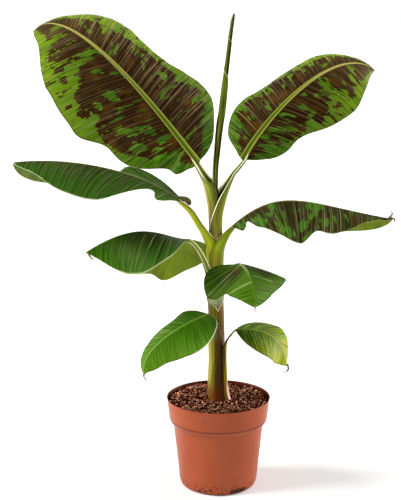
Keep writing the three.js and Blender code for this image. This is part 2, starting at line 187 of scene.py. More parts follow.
class Paint:
    # A material's node tree, with short calls for the nodes that the finishes share
    def __init__(self, name, roughness, specular=0.5, tint=(1, 1, 1)):
        self.material = bpy.data.materials.new(name)
        self.material.use_nodes = True
        self.tree = self.material.node_tree
        self.shader = self.tree.nodes["Principled BSDF"]
        self.shader.inputs["Roughness"].default_value = roughness
        self.shader.inputs["Specular IOR Level"].default_value = specular
        self.shader.inputs["Specular Tint"].default_value = (*tint, 1)

    def put(self, socket, value):  # a link, a colour or a number into a socket
        if hasattr(value, "is_output"):
            self.tree.links.new(value, socket)
        elif isinstance(value, str):
            socket.default_value = hexColour(value)
        else:
            socket.default_value = value

    def node(self, kind, inputs, **settings):  # the outputs of a new node
        node = self.tree.nodes.new("ShaderNode" + kind)
        for key, value in settings.items():
            setattr(node, key, value)
        for socket, value in inputs.items():
            self.put(node.inputs[socket], value)
        return node.outputs

    def mark(self, name):  # a value per point of the mesh
        return self.node("Attribute", {}, attribute_name=name)["Fac"]

    def place(self, scale=(1, 1, 1), source="Object", shift=(0, 0, 0)):
        vector = self.node("TexCoord", {})[source]
        return self.node("Mapping", {"Vector": vector, "Scale": scale, "Location": shift})["Vector"]

    def facing(self, degrees, middle=-2):
        # How far a point of the stem lies towards an azimuth: 1 on that side, -1 on the other
        flat = self.place((1, 1, 0), shift=(-middle * mm, 0, 0))
        turned = self.node("VectorMath", {0: flat}, operation="NORMALIZE")["Vector"]
        way = (math.cos(math.radians(degrees)), math.sin(math.radians(degrees)), 0)
        return self.node("VectorMath", {0: turned, 1: way}, operation="DOT_PRODUCT")["Value"]

    def height(self, low, high):  # 0 at one height in metres above the floor, 1 at another
        parts = self.node("SeparateXYZ", {0: self.node("TexCoord", {})["Object"]})
        return self.ramp(parts["Z"], low, high)

    def noise(self, place, scale, detail=4.0, rough=0.55, distortion=0.0):
        return self.node("TexNoise", {"Vector": place, "Scale": scale, "Detail": detail, "Roughness": rough,
                                      "Distortion": distortion})["Fac"]

    def strokes(self, along, around, detail, rough=0.55):  # noise stretched on the piece's own UV
        return self.noise(self.place((along, around, 1), "UV"), 1.0, detail, rough)

    def ramp(self, value, low, high):  # 0 at low, 1 at high
        return self.node("MapRange", {"Value": value, "From Min": low, "From Max": high},
                         interpolation_type="SMOOTHSTEP")["Result"]

    def math(self, kind, a, b):
        return self.node("Math", {0: a, 1: b}, operation=kind)[0]

    def mix(self, share, a, b):
        return self.node("Mix", {0: share, 6: a, 7: b}, data_type="RGBA")[2]

    def over(self, colour, new, *shares):  # a new colour laid over another, by the product of the shares
        share = shares[0]
        for other in shares[1:]:
            share = self.math("MULTIPLY", share, other)
        return self.mix(share, colour, new)

    def finish(self, colour, relief=None, strength=0.3, distance=0.0004):
        self.put(self.shader.inputs["Base Color"], colour)
        if relief is not None:
            bump = self.node("Bump", {"Strength": strength, "Distance": distance, "Height": relief})
            self.put(self.shader.inputs["Normal"], bump["Normal"])
        return self.material


def hexColour(text):  # "#rrggbb" as the eye sees it, turned into linear light
    channels = [int(text[k:k + 2], 16) / 255 for k in (1, 3, 5)]
    return [c / 12.92 if c < 0.04045 else ((c + 0.055) / 1.055) ** 2.4 for c in channels] + [1]


# Leaves. rib: control points of the midrib. half: widest half blade left and right, seen from the stem.
# outline: end of the round base, start of the taper and its two powers. roll, sweep and bend: degrees.
# dents: [place, depth, spread] on the margin. lean: how far the veins of the base's lobes lean back.
# ribWidth, keel, groove: half width, depth below and dip above of the midrib at its base. ruffle: height of
# the margin's waves. blotches: the pattern of the left and right half. pale: strength of the pale vein
# lines, then places where they are stronger: [side, place, spread, across, spread, strength].
# creases: [side, place, across from, across to]. ridgeEnd: where the pale ridges of the midrib are gone and
# where they start to fade. paleMargin: the side whose margin is cream, and where that ends. A side is 0 for
# left and 1 for right, a place is a share of the midrib's length. grid: points along, and across each half.

# A pattern is the brown field's reach across, at even steps from base to tip, and islands in it:
# [place, across, half length, half width, 1 for green or -1 for brown], in mm on a half as wide as "half"
blotches = {
    "large near": {
        "half": 114, "edge": [0.5, 0.5, 0.6, 0.7, 0.86, 0.98, 0.8, 0.63, 0.76, 0.75, 0.55, 0.58, 0.85, 0.82,
                              0.7, 0.72, 0.75, 0.78, 0.8, 0.85, 0.9],
        "islands": [[0.598, 0.12, 11, 6, 1], [0.585, 0.26, 13, 9, 1], [0.565, 0.42, 13, 10, 1],
                    [0.55, 0.58, 15, 12, 1], [0.597, 0.7, 13, 5, 1], [0.4, 0.35, 9, 9, 1],
                    [0.38, 0.56, 7, 8, 1], [0.342, 0.26, 9, 2.5, 1], [0.305, 0.5, 9, 1.5, 1],
                    [0.262, 0.58, 14, 7, 1], [0.25, 0.44, 14, 8, 1], [0.228, 0.3, 10, 6, 1],
                    [0.18, 0.2, 13, 5, 1],
                    [0.19, 0.64, 13, 9, 1], [0.2, 0.42, 8, 3, 1], [0.155, 0.45, 9, 4, 1],
                    [0.115, 0.7, 26, 13, 1], [0.12, 0.35, 12, 3, 1], [0.725, 0.52, 20, 7, 1],
                    [0.505, 0.3, 7, 5, 1], [0.48, 0.12, 5, 4, 1], [0.66, 0.4, 9, 3, 1], [0.79, 0.3, 14, 4, 1],
                    [0.38, 0.75, 12, 9, -1], [0.518, 0.73, 7, 9, -1], [0.57, 0.73, 9, 5, -1],
                    [0.47, 0.88, 7, 3, -1], [0.43, 0.9, 9, 3, -1], [0.61, 0.93, 8, 2.5, -1],
                    [0.54, 0.93, 6, 2.5, -1]],
    },
    "large far": {
        "half": 97, "edge": [0.3, 0.4, 0.55, 0.7, 0.82, 0.85, 0.72, 0.8, 0.86, 0.8, 0.7, 0.62, 0.58, 0.6, 0.6,
                             0.62, 0.6, 0.6, 0.6, 0.6, 0.6],
        "islands": [[0.54, 0.26, 11, 6, 1], [0.48, 0.58, 10, 9, 1], [0.36, 0.57, 9, 9, 1],
                    [0.315, 0.25, 15, 4, 1], [0.31, 0.8, 15, 9, 1], [0.215, 0.75, 17, 7, 1],
                    [0.215, 0.38, 8, 4, 1], [0.14, 0.25, 14, 3.5, 1], [0.14, 0.68, 20, 11, 1],
                    [0.66, 0.22, 4, 5, 1], [0.61, 0.5, 9, 7, 1], [0.7, 0.42, 9, 4, 1],
                    [0.4, 0.85, 6, 4, 1], [0.43, 0.4, 4, 3, 1], [0.5, 0.9, 10, 4, -1], [0.56, 0.85, 6, 3, -1],
                    [0.42, 0.93, 8, 5, -1], [0.66, 0.75, 9, 4, -1]],
    },
    "middle near": {
        "half": 83, "edge": [1.0, 1.0, 1.05, 1.05, 1.05, 1.02, 1.0, 1.02, 1.05, 1.05, 1.05, 1.1, 1.05, 1.05,
                             1.1, 1.1, 1.1, 1.1, 1.1, 1.1, 1.1],
        "islands": [[0.045, 0.62, 16, 9, 1], [0.16, 0.7, 20, 12, 1], [0.29, 0.15, 9, 7, 1],
                    [0.24, 0.4, 6, 4, 1], [0.3, 0.5, 9, 4, 1], [0.36, 0.38, 8, 5, 1],
                    [0.35, 0.83, 12, 20, 1], [0.3, 0.72, 8, 8, 1], [0.52, 0.65, 8, 17, 1],
                    [0.57, 0.5, 7, 8, 1], [0.55, 0.95, 9, 13, 1], [0.6, 0.14, 12, 15, 1],
                    [0.67, 0.66, 10, 8, 1], [0.72, 0.3, 12, 2, 1], [0.78, 0.45, 12, 2.5, 1],
                    [0.82, 0.25, 9, 2.5, 1],
                    [0.44, 0.78, 9, 5, -1], [0.5, 0.9, 5, 4, -1], [0.34, 0.88, 4, 5, -1]],
    },
    "middle far": {
        "half": 77, "edge": [0.8, 0.9, 0.9, 0.92, 0.95, 0.95, 0.9, 0.9, 0.85, 0.85, 0.9, 0.9, 0.85, 0.85, 0.9,
                             0.9, 0.9, 0.9, 0.9, 0.9, 0.9],
        "islands": [[0.12, 0.6, 14, 8, 1], [0.3, 0.3, 10, 7, 1], [0.38, 0.75, 14, 9, 1], [0.52, 0.4, 9, 8, 1],
                    [0.6, 0.75, 14, 9, 1], [0.72, 0.3, 8, 4, 1], [0.24, 0.85, 9, 5, 1], [0.8, 0.6, 9, 5, 1]],
    },
}
leaves = {
    "upper_left": {
        "rib": [[-33, 28, 527], [-77, 84, 575], [-246, 149, 797], [-311, 194, 725]],
        "half": [114, 97], "outline": [0.35, 0.53, 1.19, 1.06], "roll": [-36, -20], "sweep": [13, 31],
        "bend": [[[3, -8, -4], [-37, -37, -9]], [[4, 6, 2], [-4, -30, -5]]],
        "dents": [[[0.02, 0.5, 0.03], [0.09, 0.4, 0.05], [0.25, 0.06, 0.04], [0.31, -0.1, 0.05],
                   [0.4, -0.14, 0.1], [0.75, 0.11, 0.1]],
                  [[0.2, -0.24, 0.09], [0.29, -0.08, 0.08], [0.65, -0.18, 0.12]]],
        "lean": [-38, 4], "ribWidth": 5.4, "keel": 5.5, "groove": 1.3, "ruffle": 1.2, "grid": [300, 61],
        "look": "blotched", "blotches": ["large near", "large far"],
        "pale": [0.3, [1, 0.5, 0.4, 0.5, 0.6, 0.45], [0, 0.75, 0.14, 0.3, 0.5, 0.4],
                 [1, 0.85, 0.2, 0.3, 0.6, 0.5]],
    },
    "upper_right": {
        "rib": [[38, 25, 532], [69, 63, 589], [188, 108, 717], [260, 144, 664]],
        "half": [72, 87], "outline": [0.35, 0.43, 1.91, 0.97], "roll": [38, 28], "sweep": [22, 18],
        "bend": [[[9, 4, 3], [-1, -47, 2]], [[-3, -10, -7], [-35, -37, -21]]],
        "dents": [[[0.02, 0.4, 0.03], [0.2, -0.18, 0.1], [0.7, -0.13, 0.11]],
                  [[0.02, 0.1, 0.03], [0.09, 0.06, 0.05], [0.21, 0.23, 0.11], [0.28, 0.09, 0.08],
                   [0.57, -0.06, 0.11]]],
        "lean": [-9, -4], "ribWidth": 4.6, "keel": 4.6, "groove": 1.1, "ruffle": 1.0, "grid": [250, 55],
        "look": "blotched", "blotches": ["large far", "large near"],
        "pale": [0.35, [0, 0.5, 0.4, 0.5, 0.6, 0.3], [1, 0.82, 0.16, 0.6, 0.5, 0.6]],
    },
    "middle_left": {
        "rib": [[-54, -14, 469], [-123, -17, 524], [-230, -41, 546], [-309, -78, 541]],
        "half": [79, 85], "outline": [0.12, 0.29, 1.53, 0.69], "roll": [-1, 7], "sweep": [52, 42],
        "bend": [[[-13, -22, -22], [-9, -75, -50]], [[10, -18, -42], [9, -49, -57]]],
        "dents": [[[0.02, 0.5, 0.03], [0.17, 0.76, 0.09], [0.92, 0.29, 0.15]],
                  [[0.08, -0.18, 0.06], [0.23, 0.05, 0.1], [0.7, 0.09, 0.1]]],
        "lean": [-30, 0], "ribWidth": 4.6, "keel": 4.6, "groove": 1.0, "ruffle": 1.2, "grid": [220, 49],
        "look": "flushed", "pale": [0.3, [0, 0.12, 0.16, 0.4, 0.6, 0.6], [1, 0.15, 0.2, 0.4, 0.6, 0.8],
                                    [0, 0.5, 0.3, 0.25, 0.3, 0.35]],
    },
    "middle_right": {
        "rib": [[20, -4, 431], [96, -21, 503], [139, -17, 467], [266, -46, 449]],
        "half": [77, 83], "outline": [0.53, 0.48, 1.15, 0.64], "roll": [4, -18], "sweep": [9, 21],
        "bend": [[[-21, -38, -47], [-32, -63, -68]], [[-15, -35, -17], [-10, -66, -27]]],
        "dents": [[[0.64, 0.18, 0.1], [0.82, 0.13, 0.09]],
                  [[0.035, -0.35, 0.022], [0.088, 0.5, 0.022], [0.15, 0.12, 0.07], [0.62, 0.22, 0.07],
                   [0.92, 0.35, 0.08]]],
        "lean": [0, 0], "ribWidth": 4.2, "keel": 4.2, "groove": 0.9, "ruffle": 1.4, "grid": [220, 49],
        "look": "mottled", "blotches": ["middle far", "middle near"],
        "pale": [0.6, [1, 0.4, 0.1, 0.2, 0.4, 0.3], [1, 0.72, 0.15, 0.4, 0.5, 0.3]],
    },
    "lower_left": {
        "rib": [[-45, -44, 417], [-85, -33, 412], [-112, -47, 459], [-206, -60, 399]],
        "half": [90, 91], "outline": [0.12, 0.42, 2.24, 1.05], "roll": [13, -7], "sweep": [-12, 60],
        "bend": [[[3, -8, -41], [-6, -80, -64]], [[-9, -41, -43], [-10, -88, -55]]],
        "dents": [[[0.35, -0.15, 0.13], [0.68, 0.03, 0.1]], [[0.2, -0.25, 0.05], [0.59, 0.2, 0.12]]],
        "lean": [0, -12], "ribWidth": 2.8, "keel": 2.8, "groove": 0.6, "ruffle": 0.8, "grid": [190, 45],
        "look": "shaded", "pale": [0.12, [0, 0.45, 0.26, 0.35, 0.4, 0.7]],
    },
    "front": {
        "rib": [[29, -47, 378], [25, -72, 389], [51, -116, 393], [51, -145, 335]],
        "half": [73, 71], "outline": [0.35, 0.34, 1.72, 0.77], "roll": [-4, -6], "sweep": [10, 11],
        "bend": [[[-13, -8, -14], [-25, -22, -33]], [[-8, -40, 1], [9, -52, -5]]],
        "dents": [[[0.81, 0.06, 0.1]], [[0.35, -0.03, 0.1], [0.69, 0.16, 0.1]]],
        "lean": [0, 0], "ribWidth": 1.2, "keel": 1.8, "groove": 0.3, "ruffle": 0.6, "grid": [170, 45],
        "look": "patched", "pale": [0.25, [0, 0.35, 0.25, 0.4, 0.5, 0.5], [1, 0.35, 0.2, 0.5, 0.5, 0.5]],
        "creases": [[1, 0.35, 0.0, 1.0], [1, 0.75, 0.0, 1.0], [0, 0.65, 0.1, 0.7]], "ridgeEnd": [0.72, 0.5],
    },
    "foot_left": {
        "rib": [[-15, -34, 294], [-40, -58, 295], [-128, -89, 257], [-115, -103, 217]],
        "half": [65, 37], "outline": [0.16, 0.2, 1.49, 0.98], "roll": [-8, -6], "sweep": [19, 47],
        "bend": [[[8, -11, -7], [11, -29, -13]], [[6, -6, -9], [5, -10, -19]]],
        "dents": [[[0.19, -0.16, 0.12], [0.56, 0.07, 0.11]], [[0.28, 0.12, 0.11], [0.68, -0.11, 0.1]]],
        "lean": [0, 0], "ribWidth": 2.0, "keel": 2.4, "groove": 0.5, "ruffle": 0.5, "grid": [160, 41],
        "look": "fresh", "pale": [0.08, [1, 0.5, 0.25, 0.6, 0.5, 0.8]], "paleMargin": [0, 0.26],
        "creases": [[1, 0.3, 0.2, 0.9], [1, 0.42, 0.3, 1.0], [1, 0.6, 0.2, 0.9]],
    },
    "foot_right": {
        "rib": [[26, -29, 268], [48, -32, 270], [98, -46, 279], [106, -58, 218]],
        "half": [52, 60], "outline": [0.35, 0.36, 1.73, 0.83], "roll": [11, 4], "sweep": [21, 44],
        "bend": [[[1, -9, -8], [-6, -17, -15]], [[-3, -3, -11], [-22, -29, -19]]],
        "dents": [[[0.38, -0.1, 0.1], [0.67, 0.07, 0.1]], []],
        "lean": [0, 0], "ribWidth": 1.6, "keel": 2.0, "groove": 0.4, "ruffle": 0.9, "grid": [150, 41],
        "look": "yellowed", "pale": [0.12, [1, 0.65, 0.28, 0.55, 0.5, 0.85], [0, 0.65, 0.25, 0.4, 0.5, 0.7]],
    },
}
# What all blades share, in mm: thickness, veins, the midrib's half width at the tip, the length of the long
# and short waves at the margin, folds, and the share of the length over which the base's lobes reach
leafBlade = {"thick": 1.0, "thickAtMargin": 0.45, "veinPitch": 6.5, "veinHeight": 0.22, "ribAtTip": 0.7,
             "longWave": 26, "shortWave": 9, "foldWidth": 0.7, "foldHeight": 0.3, "lobeReach": 0.14}


def leafPlaces(leaf):
    # Grid of t along the midrib and signed across from -1 (left margin) to 1, crowded at the midrib
    stations, perHalf = leaf["grid"]
    s = np.linspace(0, 1, stations)
    t = 0.35 * s + 0.65 * (1 - np.cos(np.pi * s)) / 2
    half = np.linspace(0, 1, perHalf) ** 1.7
    return t[:, None], np.r_[-half[:0:-1], half][None, :]


def levelSide(rib, along):
    # The level direction to the right of a leaf, made square to the way along its midrib or stalk
    heading = unit((rib[3] - rib[0]) * [1, 1, 0])
    level = np.array([heading[1], -heading[0], 0])
    return unit(level - (along @ level)[:, None] * along)


def ribFrame(leaf, t):
    # Bezier midrib with its direction, the direction to the leaf's right and the one over it
    p = np.array(leaf["rib"], float)
    q = 1 - t
    origin = q ** 3 * p[0] + 3 * q ** 2 * t * p[1] + 3 * q * t ** 2 * p[2] + t ** 3 * p[3]
    along = unit(q ** 2 * (p[1] - p[0]) + 2 * q * t * (p[2] - p[1]) + t ** 2 * (p[3] - p[2]))
    side = levelSide(p, along)
    up = np.cross(side, along)
    roll = np.radians(between(leaf["roll"], t))
    right = side * np.cos(roll) - up * np.sin(roll)
    over = up * np.cos(roll) + side * np.sin(roll)
    return origin, along, right, over


def halfWidths(leaf, k, t):
    # Round base times tapered tip, times each dent or lobe
    baseEnd, taperStart, firstPower, secondPower = leaf["outline"]
    base = np.sqrt(1 - (1 - np.clip(t / baseEnd, 0, 1)) ** 2)
    toTip = np.clip((t - taperStart) / (1 - taperStart), 0, 1)
    width = leaf["half"][k] * base * np.clip(1 - toTip ** firstPower, 0, 1) ** secondPower
    for place, depth, spread in leaf["dents"][k]:
        width = width * (1 - depth * bell(t, place, spread))
    narrow = leaf["ribWidth"] * 1.25 * (1 - t) + 1.4 * t
    return np.maximum(width, narrow)


def leafSurface(leaf, t, across):
    # Middle surface: a vein leaves the midrib, leans to the tip and bends as an arc. Also the distances
    # from the midrib and to the margin, and the length along the midrib, in mm
    origin, along, right, over = ribFrame(leaf, t)
    points = np.zeros((len(t), across.shape[1], 3))
    reach = np.zeros(points.shape[:2])
    for k, columns in enumerate((across[0] < 0, across[0] >= 0)):
        sign = 2 * k - 1
        a = np.abs(across[:, columns])
        width = halfWidths(leaf, k, t)
        inner, outer = (np.radians(throughThree(row, t)) for row in leaf["bend"][k])
        sweep = between(leaf["sweep"], t) + leaf["lean"][k] * bell(t, 0, leafBlade["lobeReach"])
        sweep = np.radians(sweep)
        outward = sign * right * np.cos(sweep) + along * np.sin(sweep)
        halfTurn = (outer - inner) / 2 * a
        chord = width * a * np.sinc(halfTurn / np.pi)
        flat, rise = ((chord * part(inner + halfTurn))[..., None] for part in (np.cos, np.sin))
        points[:, columns] = origin[:, None] + outward[:, None] * flat + over[:, None] * rise
        reach[:, columns] = width
    return points, reach * np.abs(across), reach * (1 - np.abs(across)), lengths(origin)[:, None], over


def surfaceNormals(points, over):  # cross product of the grid's two directions, turned to the upper side
    alongGrid = np.gradient(points, axis=0)
    acrossGrid = np.gradient(points, axis=1)
    normal = unit(np.cross(acrossGrid, alongGrid))
    sign = np.sign(np.einsum("ijk,ik->ij", normal, over).mean())
    return normal * sign


def blotchTone(leaf, t, across, fromRib, length, seed):
    # Share of brown from 0 to 1: the distance in mm inside a brown field with islands, broken into teeth
    # and short dashes that follow the veins
    along = fromRib + 500 * (across < 0)
    teeth = 3.2 * grain(length / 2.1, along / 16, seed) + 2.4 * grain(length / 5.5, along / 9, seed + 1)
    dashes = 15 * grain(length / 2.4, along / 12, seed + 5) ** 3
    field = np.zeros(fromRib.shape)
    for k, columns in enumerate((across[0] < 0, across[0] >= 0)):
        pattern = blotches[leaf["blotches"][k]]
        a = np.abs(across[:, columns])
        width = halfWidths(leaf, k, t)
        scale = leaf["half"][k] / pattern["half"]
        part = (alongRow(pattern["edge"], t) - a) * width
        for place, far, halfLong, halfWide, sign in pattern["islands"]:
            out = np.hypot((a - far) * width / (halfLong * scale),
                           (t - place) * length[-1] / (halfWide * scale)) - 1
            distance = out * min(halfLong, halfWide) * scale
            part = np.minimum(part, distance + 1) if sign > 0 else np.maximum(part, -distance - 1)
        field[:, columns] = np.clip(part, -8, 10)
    return smoothstep(-1.0, 1.4, field + teeth + dashes)


def leafTone(leaf, t, across, fromRib, length, seed):  # share of brown from 0 to 1, by the leaf's look
    look = leaf["look"]
    if "blotches" in leaf:
        return blotchTone(leaf, t, across, fromRib, length, seed)
    a = np.abs(across)
    along = fromRib + 500 * (across < 0)
    streaks = (0.5 + 0.5 * grain(length / 2.2, along / 30, seed)
               + 0.3 * grain(length / 6, along / 12, seed + 2))
    if look == "flushed":
        tone = smoothstep(0.85, 0.05, a) * (0.45 + 0.55 * smoothstep(0.1, 0.6, t))
        tone = tone * smoothstep(-0.3, 0.9, streaks)
    elif look == "shaded":
        tone = smoothstep(1.0, 0.1, a) * smoothstep(0.0, 0.2, t) * smoothstep(1.0, 0.5, t)
        tone = tone * smoothstep(-0.4, 0.7, streaks)
    elif look == "patched":
        right = bell(t, 0.4, 0.2) * bell(across, 0.28, 0.3)
        left = bell(t, 0.42, 0.2) * bell(across, -0.4, 0.4)
        tone = np.maximum(right, 1.1 * left) * smoothstep(-0.3, 0.6, streaks)
    else:
        tone = 0.06 * streaks
    return np.clip(tone, 0, 1)


def paleLines(leaf, t, across):  # strength of the pale vein lines: a base value and bells of t and across
    strength = leaf["pale"][0]
    for side, place, spread, far, farSpread, more in leaf["pale"][1:]:
        patch = bell(t, place, spread) * bell(np.abs(across), far, farSpread)
        strength = strength + more * patch * ((across >= 0) == side)
    return np.clip(strength, 0, 1)


def creaseLines(leaf, t, across, length):  # 1 on the thin folds that run along a vein
    a = np.abs(across)
    lines = 0 * t + 0 * a
    for side, place, near, far in leaf.get("creases", []):
        reach = smoothstep(near - 0.05, near + 0.05, a) * smoothstep(far + 0.1, far - 0.1, a)
        line = bell((t - place) * length[-1], 0, leafBlade["foldWidth"])
        lines = np.maximum(lines, line * reach * ((across >= 0) == side))
    return lines


def paleMargin(leaf, t, across):  # 1 on the part of one half's margin that is cream instead of dark
    side, end = leaf.get("paleMargin", [2, 0])
    return smoothstep(end + 0.05, end - 0.05, t) * ((across >= 0) == side)


def buildLeaf(key, leaf, seed):
    # Two skins beside the middle surface: waves at the margin and veins on both, the midrib's keel below,
    # its channel, the beads beside that and the folds above
    t, across = leafPlaces(leaf)
    points, fromRib, toMargin, length, over = leafSurface(leaf, t, across)
    normal = surfaceNormals(points, over)
    a, side = np.abs(across), 3 * np.sign(across)
    outside = np.clip(a * 1.6, 0, 1)
    waves = leaf["ruffle"] * (outside ** 2 * grain(length / leafBlade["longWave"], side, seed + 11)
                              + 0.4 * outside ** 3 * grain(length / leafBlade["shortWave"], side, seed + 12))
    phase = length / leafBlade["veinPitch"] + 0.5 * grain(length / 20, a * 2, seed + 13)
    ribHalf = leaf["ribWidth"] * (1 - t) ** 0.85 + leafBlade["ribAtTip"]
    x = fromRib / ribHalf  # 1 at the side of the midrib
    veins = leafBlade["veinHeight"] * np.sin(2 * np.pi * phase) * smoothstep(0.9, 2.0, x) * (1 - 0.5 * a)
    ends = smoothstep(0, 0.04, t) * smoothstep(1, 0.97, t)
    middle = points + normal * ((waves + veins) * ends)[..., None]
    thick = between((leafBlade["thickAtMargin"], leafBlade["thick"]), (1 - a) ** 0.7)
    fade = 0.12 + 0.88 * (1 - t) ** 0.9
    keel = leaf["keel"] * fade * np.sqrt(np.clip(1 - x ** 2, 0, 1))
    bead = 0.35 * leaf["groove"] * fade * bell(x, 0.8, 0.28)
    dip = leaf["groove"] * fade * bell(x, 0, 0.5)
    folds = creaseLines(leaf, t, across, length)
    upper = middle + normal * (thick / 2 + bead - dip + leafBlade["foldHeight"] * folds)[..., None]
    lower = middle - normal * (thick / 2 + keel)[..., None]
    marks = {
        "tone": leafTone(leaf, t, across, fromRib, length, seed),
        "rib": smoothstep(1.15, 0.9, x),
        "ridge": bell(x, 0.8, 0.22) * smoothstep(*leaf.get("ridgeEnd", [2.0, 1.5]), t),
        "margin": smoothstep(1.6, 0.5, toMargin + 0.5 * grain(length / 3, a, seed + 14)),
        "toTip": t,
        "across": a,
        "pale": paleLines(leaf, t, across),
        "crease": folds,
        "paleMargin": paleMargin(leaf, t, across),
    }
    shellPiece(f"blade_{key}", upper, lower, [f"leaf_{key}"],
               leafMaterials(key, leaf["look"]), surfaceMap(length, np.sign(across) * fromRib), marks)


# Leaf colours. The green runs from base to tip with paler islands, brown is the blotch and ember its warm
# clouds, ridge and vein are the pale lines, and the under ones are the lower side's. depth: the strength of
# the fine dark lines along the veins, a painted shade of their relief.
leafColours = {
    "blotched": {"base": "#265204", "tip": "#7a980e", "island": "#527a1a", "brown": "#281200",
                 "brownTip": "#423014", "ember": "#4c3006", "rib": "#4a5c12", "ribTip": "#b0a060",
                 "ridge": "#929a3a", "vein": "#a08c64", "margin": "#1a2e04", "under": "#5f7c20",
                 "underDark": "#42561a", "underBrown": "#4a3818", "depth": 0.6},
    "flushed": {"base": "#2a520a", "tip": "#356210", "island": "#3c5818", "brown": "#2c240c",
                "brownTip": "#403620", "rib": "#4a5820", "ribTip": "#7c8048",
                "ridge": "#8a9258", "vein": "#8c9a6c", "margin": "#ccd4a4", "under": "#6c8438",
                "underDark": "#4c5e28", "underBrown": "#566430", "depth": 0.6},
    "mottled": {"base": "#2c5a0a", "tip": "#3c6410", "island": "#447018", "brown": "#262206",
                "brownTip": "#2c2a0e", "ember": "#3a2a0c", "rib": "#4a4a20", "ribTip": "#8a8650",
                "ridge": "#7c7a44", "vein": "#84845a", "margin": "#8c8a4c", "under": "#748c1c",
                "underDark": "#566a18", "underBrown": "#6c7a20", "depth": 0.5},
    "shaded": {"base": "#1c4006", "tip": "#34620a", "island": "#26480a", "brown": "#181804",
               "brownTip": "#1c2606", "rib": "#4a6420", "ribTip": "#6c8034",
               "ridge": "#7c8f48", "vein": "#6c8440", "margin": "#b0c084", "under": "#7c9018",
               "underDark": "#606e1c", "underBrown": "#6c7a1c", "depth": 0.7},
    "patched": {"base": "#3c660a", "tip": "#4c780e", "island": "#426410", "brown": "#2a2008",
                "brownTip": "#2e280a", "rib": "#5c7028", "ribTip": "#507010",
                "ridge": "#ccd09c", "vein": "#94a468", "margin": "#1c3006", "under": "#6c8238",
                "underDark": "#4c5c28", "underBrown": "#5c6830", "depth": 0.6},
    "fresh": {"base": "#305e02", "tip": "#4c7606", "island": "#3e6604", "brown": "#2a4408",
              "brownTip": "#364c0c", "rib": "#54781c", "ribTip": "#6c8a2c",
              "ridge": "#7c9a40", "vein": "#b4c48c", "margin": "#203c06", "under": "#6c8c3c",
              "underDark": "#4c622a", "underBrown": "#647c3c", "depth": 0.3},
    "yellowed": {"base": "#386004", "tip": "#9ca418", "island": "#6c8c14", "brown": "#8a6a1c",
                 "brownTip": "#9c7c30", "rib": "#6c8420", "ribTip": "#b0a85c",
                 "ridge": "#909848", "vein": "#dcd09c", "margin": "#583c10", "under": "#828e34",
                 "underDark": "#606a28", "underBrown": "#8a7830", "depth": 0.6},
}
leafShine = {"roughness": 0.5, "upper": 0.07, "lower": 0.05, "tint": (1.0, 0.95, 0.3)}
creamMargin = "#f0f0d8"


def leafMaterials(key, look):
    # Upper skin, lower skin and margin: green and brown by the tone, fine dark lines along the veins as a
    # painted shade of their relief, pale lines along them, a midrib with a dark channel between two pale
    # ridges, and noise stretched along the veins
    c = leafColours[look]
    upper = Paint(f"leaf {key} upper", leafShine["roughness"], leafShine["upper"], leafShine["tint"])
    fine = upper.strokes(900, 45, 3.0)
    broad = upper.strokes(120, 24, 4.0)
    toTip = upper.mark("toTip")
    outward = upper.math("ADD", toTip, upper.math("MULTIPLY", upper.mark("across"), 0.6))
    green = upper.mix(upper.ramp(outward, 0.45, 1.35), c["base"], c["tip"])
    green = upper.over(green, c["island"], upper.ramp(broad, 0.45, 0.65))
    brown = upper.mix(upper.ramp(toTip, 0.45, 0.9), c["brown"], c["brownTip"])
    tone = upper.mark("tone")
    if "ember" in c:  # blotches with hard, ragged edges
        brown = upper.over(brown, c["ember"], upper.ramp(upper.strokes(26, 26, 4.0), 0.5, 0.68), 0.8)
        ragged = upper.math("MULTIPLY", upper.math("SUBTRACT", fine, 0.5), 1.3)
        tone = upper.ramp(upper.math("ADD", tone, ragged), 0.38, 0.62)
    colour = upper.mix(tone, green, brown)
    # Fine dark lines along the veins: painted shade of the vein relief, as strong as depth
    dark = upper.ramp(upper.strokes(640, 9, 2.0), 0.46, 0.6)
    colour = upper.over(colour, upper.mix(0.85, colour, "#000000"), dark, c["depth"])
    lines = upper.ramp(upper.strokes(850, 6, 3.0, 0.6), 0.53, 0.65)
    colour = upper.over(colour, c["vein"], lines, upper.mark("pale"))
    ribColour = upper.mix(upper.ramp(toTip, 0.25, 0.85), c["rib"], c["ribTip"])
    ribColour = upper.over(ribColour, c["ridge"], upper.mark("ridge"))
    colour = upper.over(colour, ribColour, upper.mark("rib"))
    colour = upper.over(colour, c["ridge"], upper.mark("crease"), upper.ramp(fine, 0.38, 0.56), 0.85)
    marginColour = upper.mix(upper.mark("paleMargin"), c["margin"], creamMargin)
    colour = upper.over(colour, marginColour, upper.mark("margin"), 0.8)
    upperDone = upper.finish(colour, upper.math("ADD", fine, upper.math("MULTIPLY", broad, 2.0)), 0.4)

    lower = Paint(f"leaf {key} lower", 0.6, leafShine["lower"], leafShine["tint"])
    fine = lower.strokes(700, 40, 3.0)
    broad = lower.strokes(150, 12, 2.0)
    colour = lower.mix(lower.ramp(broad, 0.3, 0.7), c["underDark"], c["under"])
    colour = lower.over(colour, c["ribTip"], lower.ramp(lower.strokes(60, 60, 4.0), 0.42, 0.62), 0.4)
    colour = lower.over(colour, c["underBrown"], lower.mark("tone"), 0.55)
    colour = lower.over(colour, c["ribTip"], lower.mark("rib"))
    lowerDone = lower.finish(colour, lower.math("ADD", fine, lower.math("MULTIPLY", broad, 2.0)), 0.4)

    margin = Paint(f"leaf {key} margin", 0.6, leafShine["lower"], leafShine["tint"])
    colour = margin.over(c["margin"], c["tip"], margin.strokes(120, 1, 2.0), 0.5)
    marginDone = margin.finish(margin.over(colour, creamMargin, margin.mark("paleMargin")))
    return [upperDone, lowerDone, marginDone]


for order, (key, leaf) in enumerate(leaves.items()):
    buildLeaf(key, leaf, 100 + 20 * order)
print("leaves built")


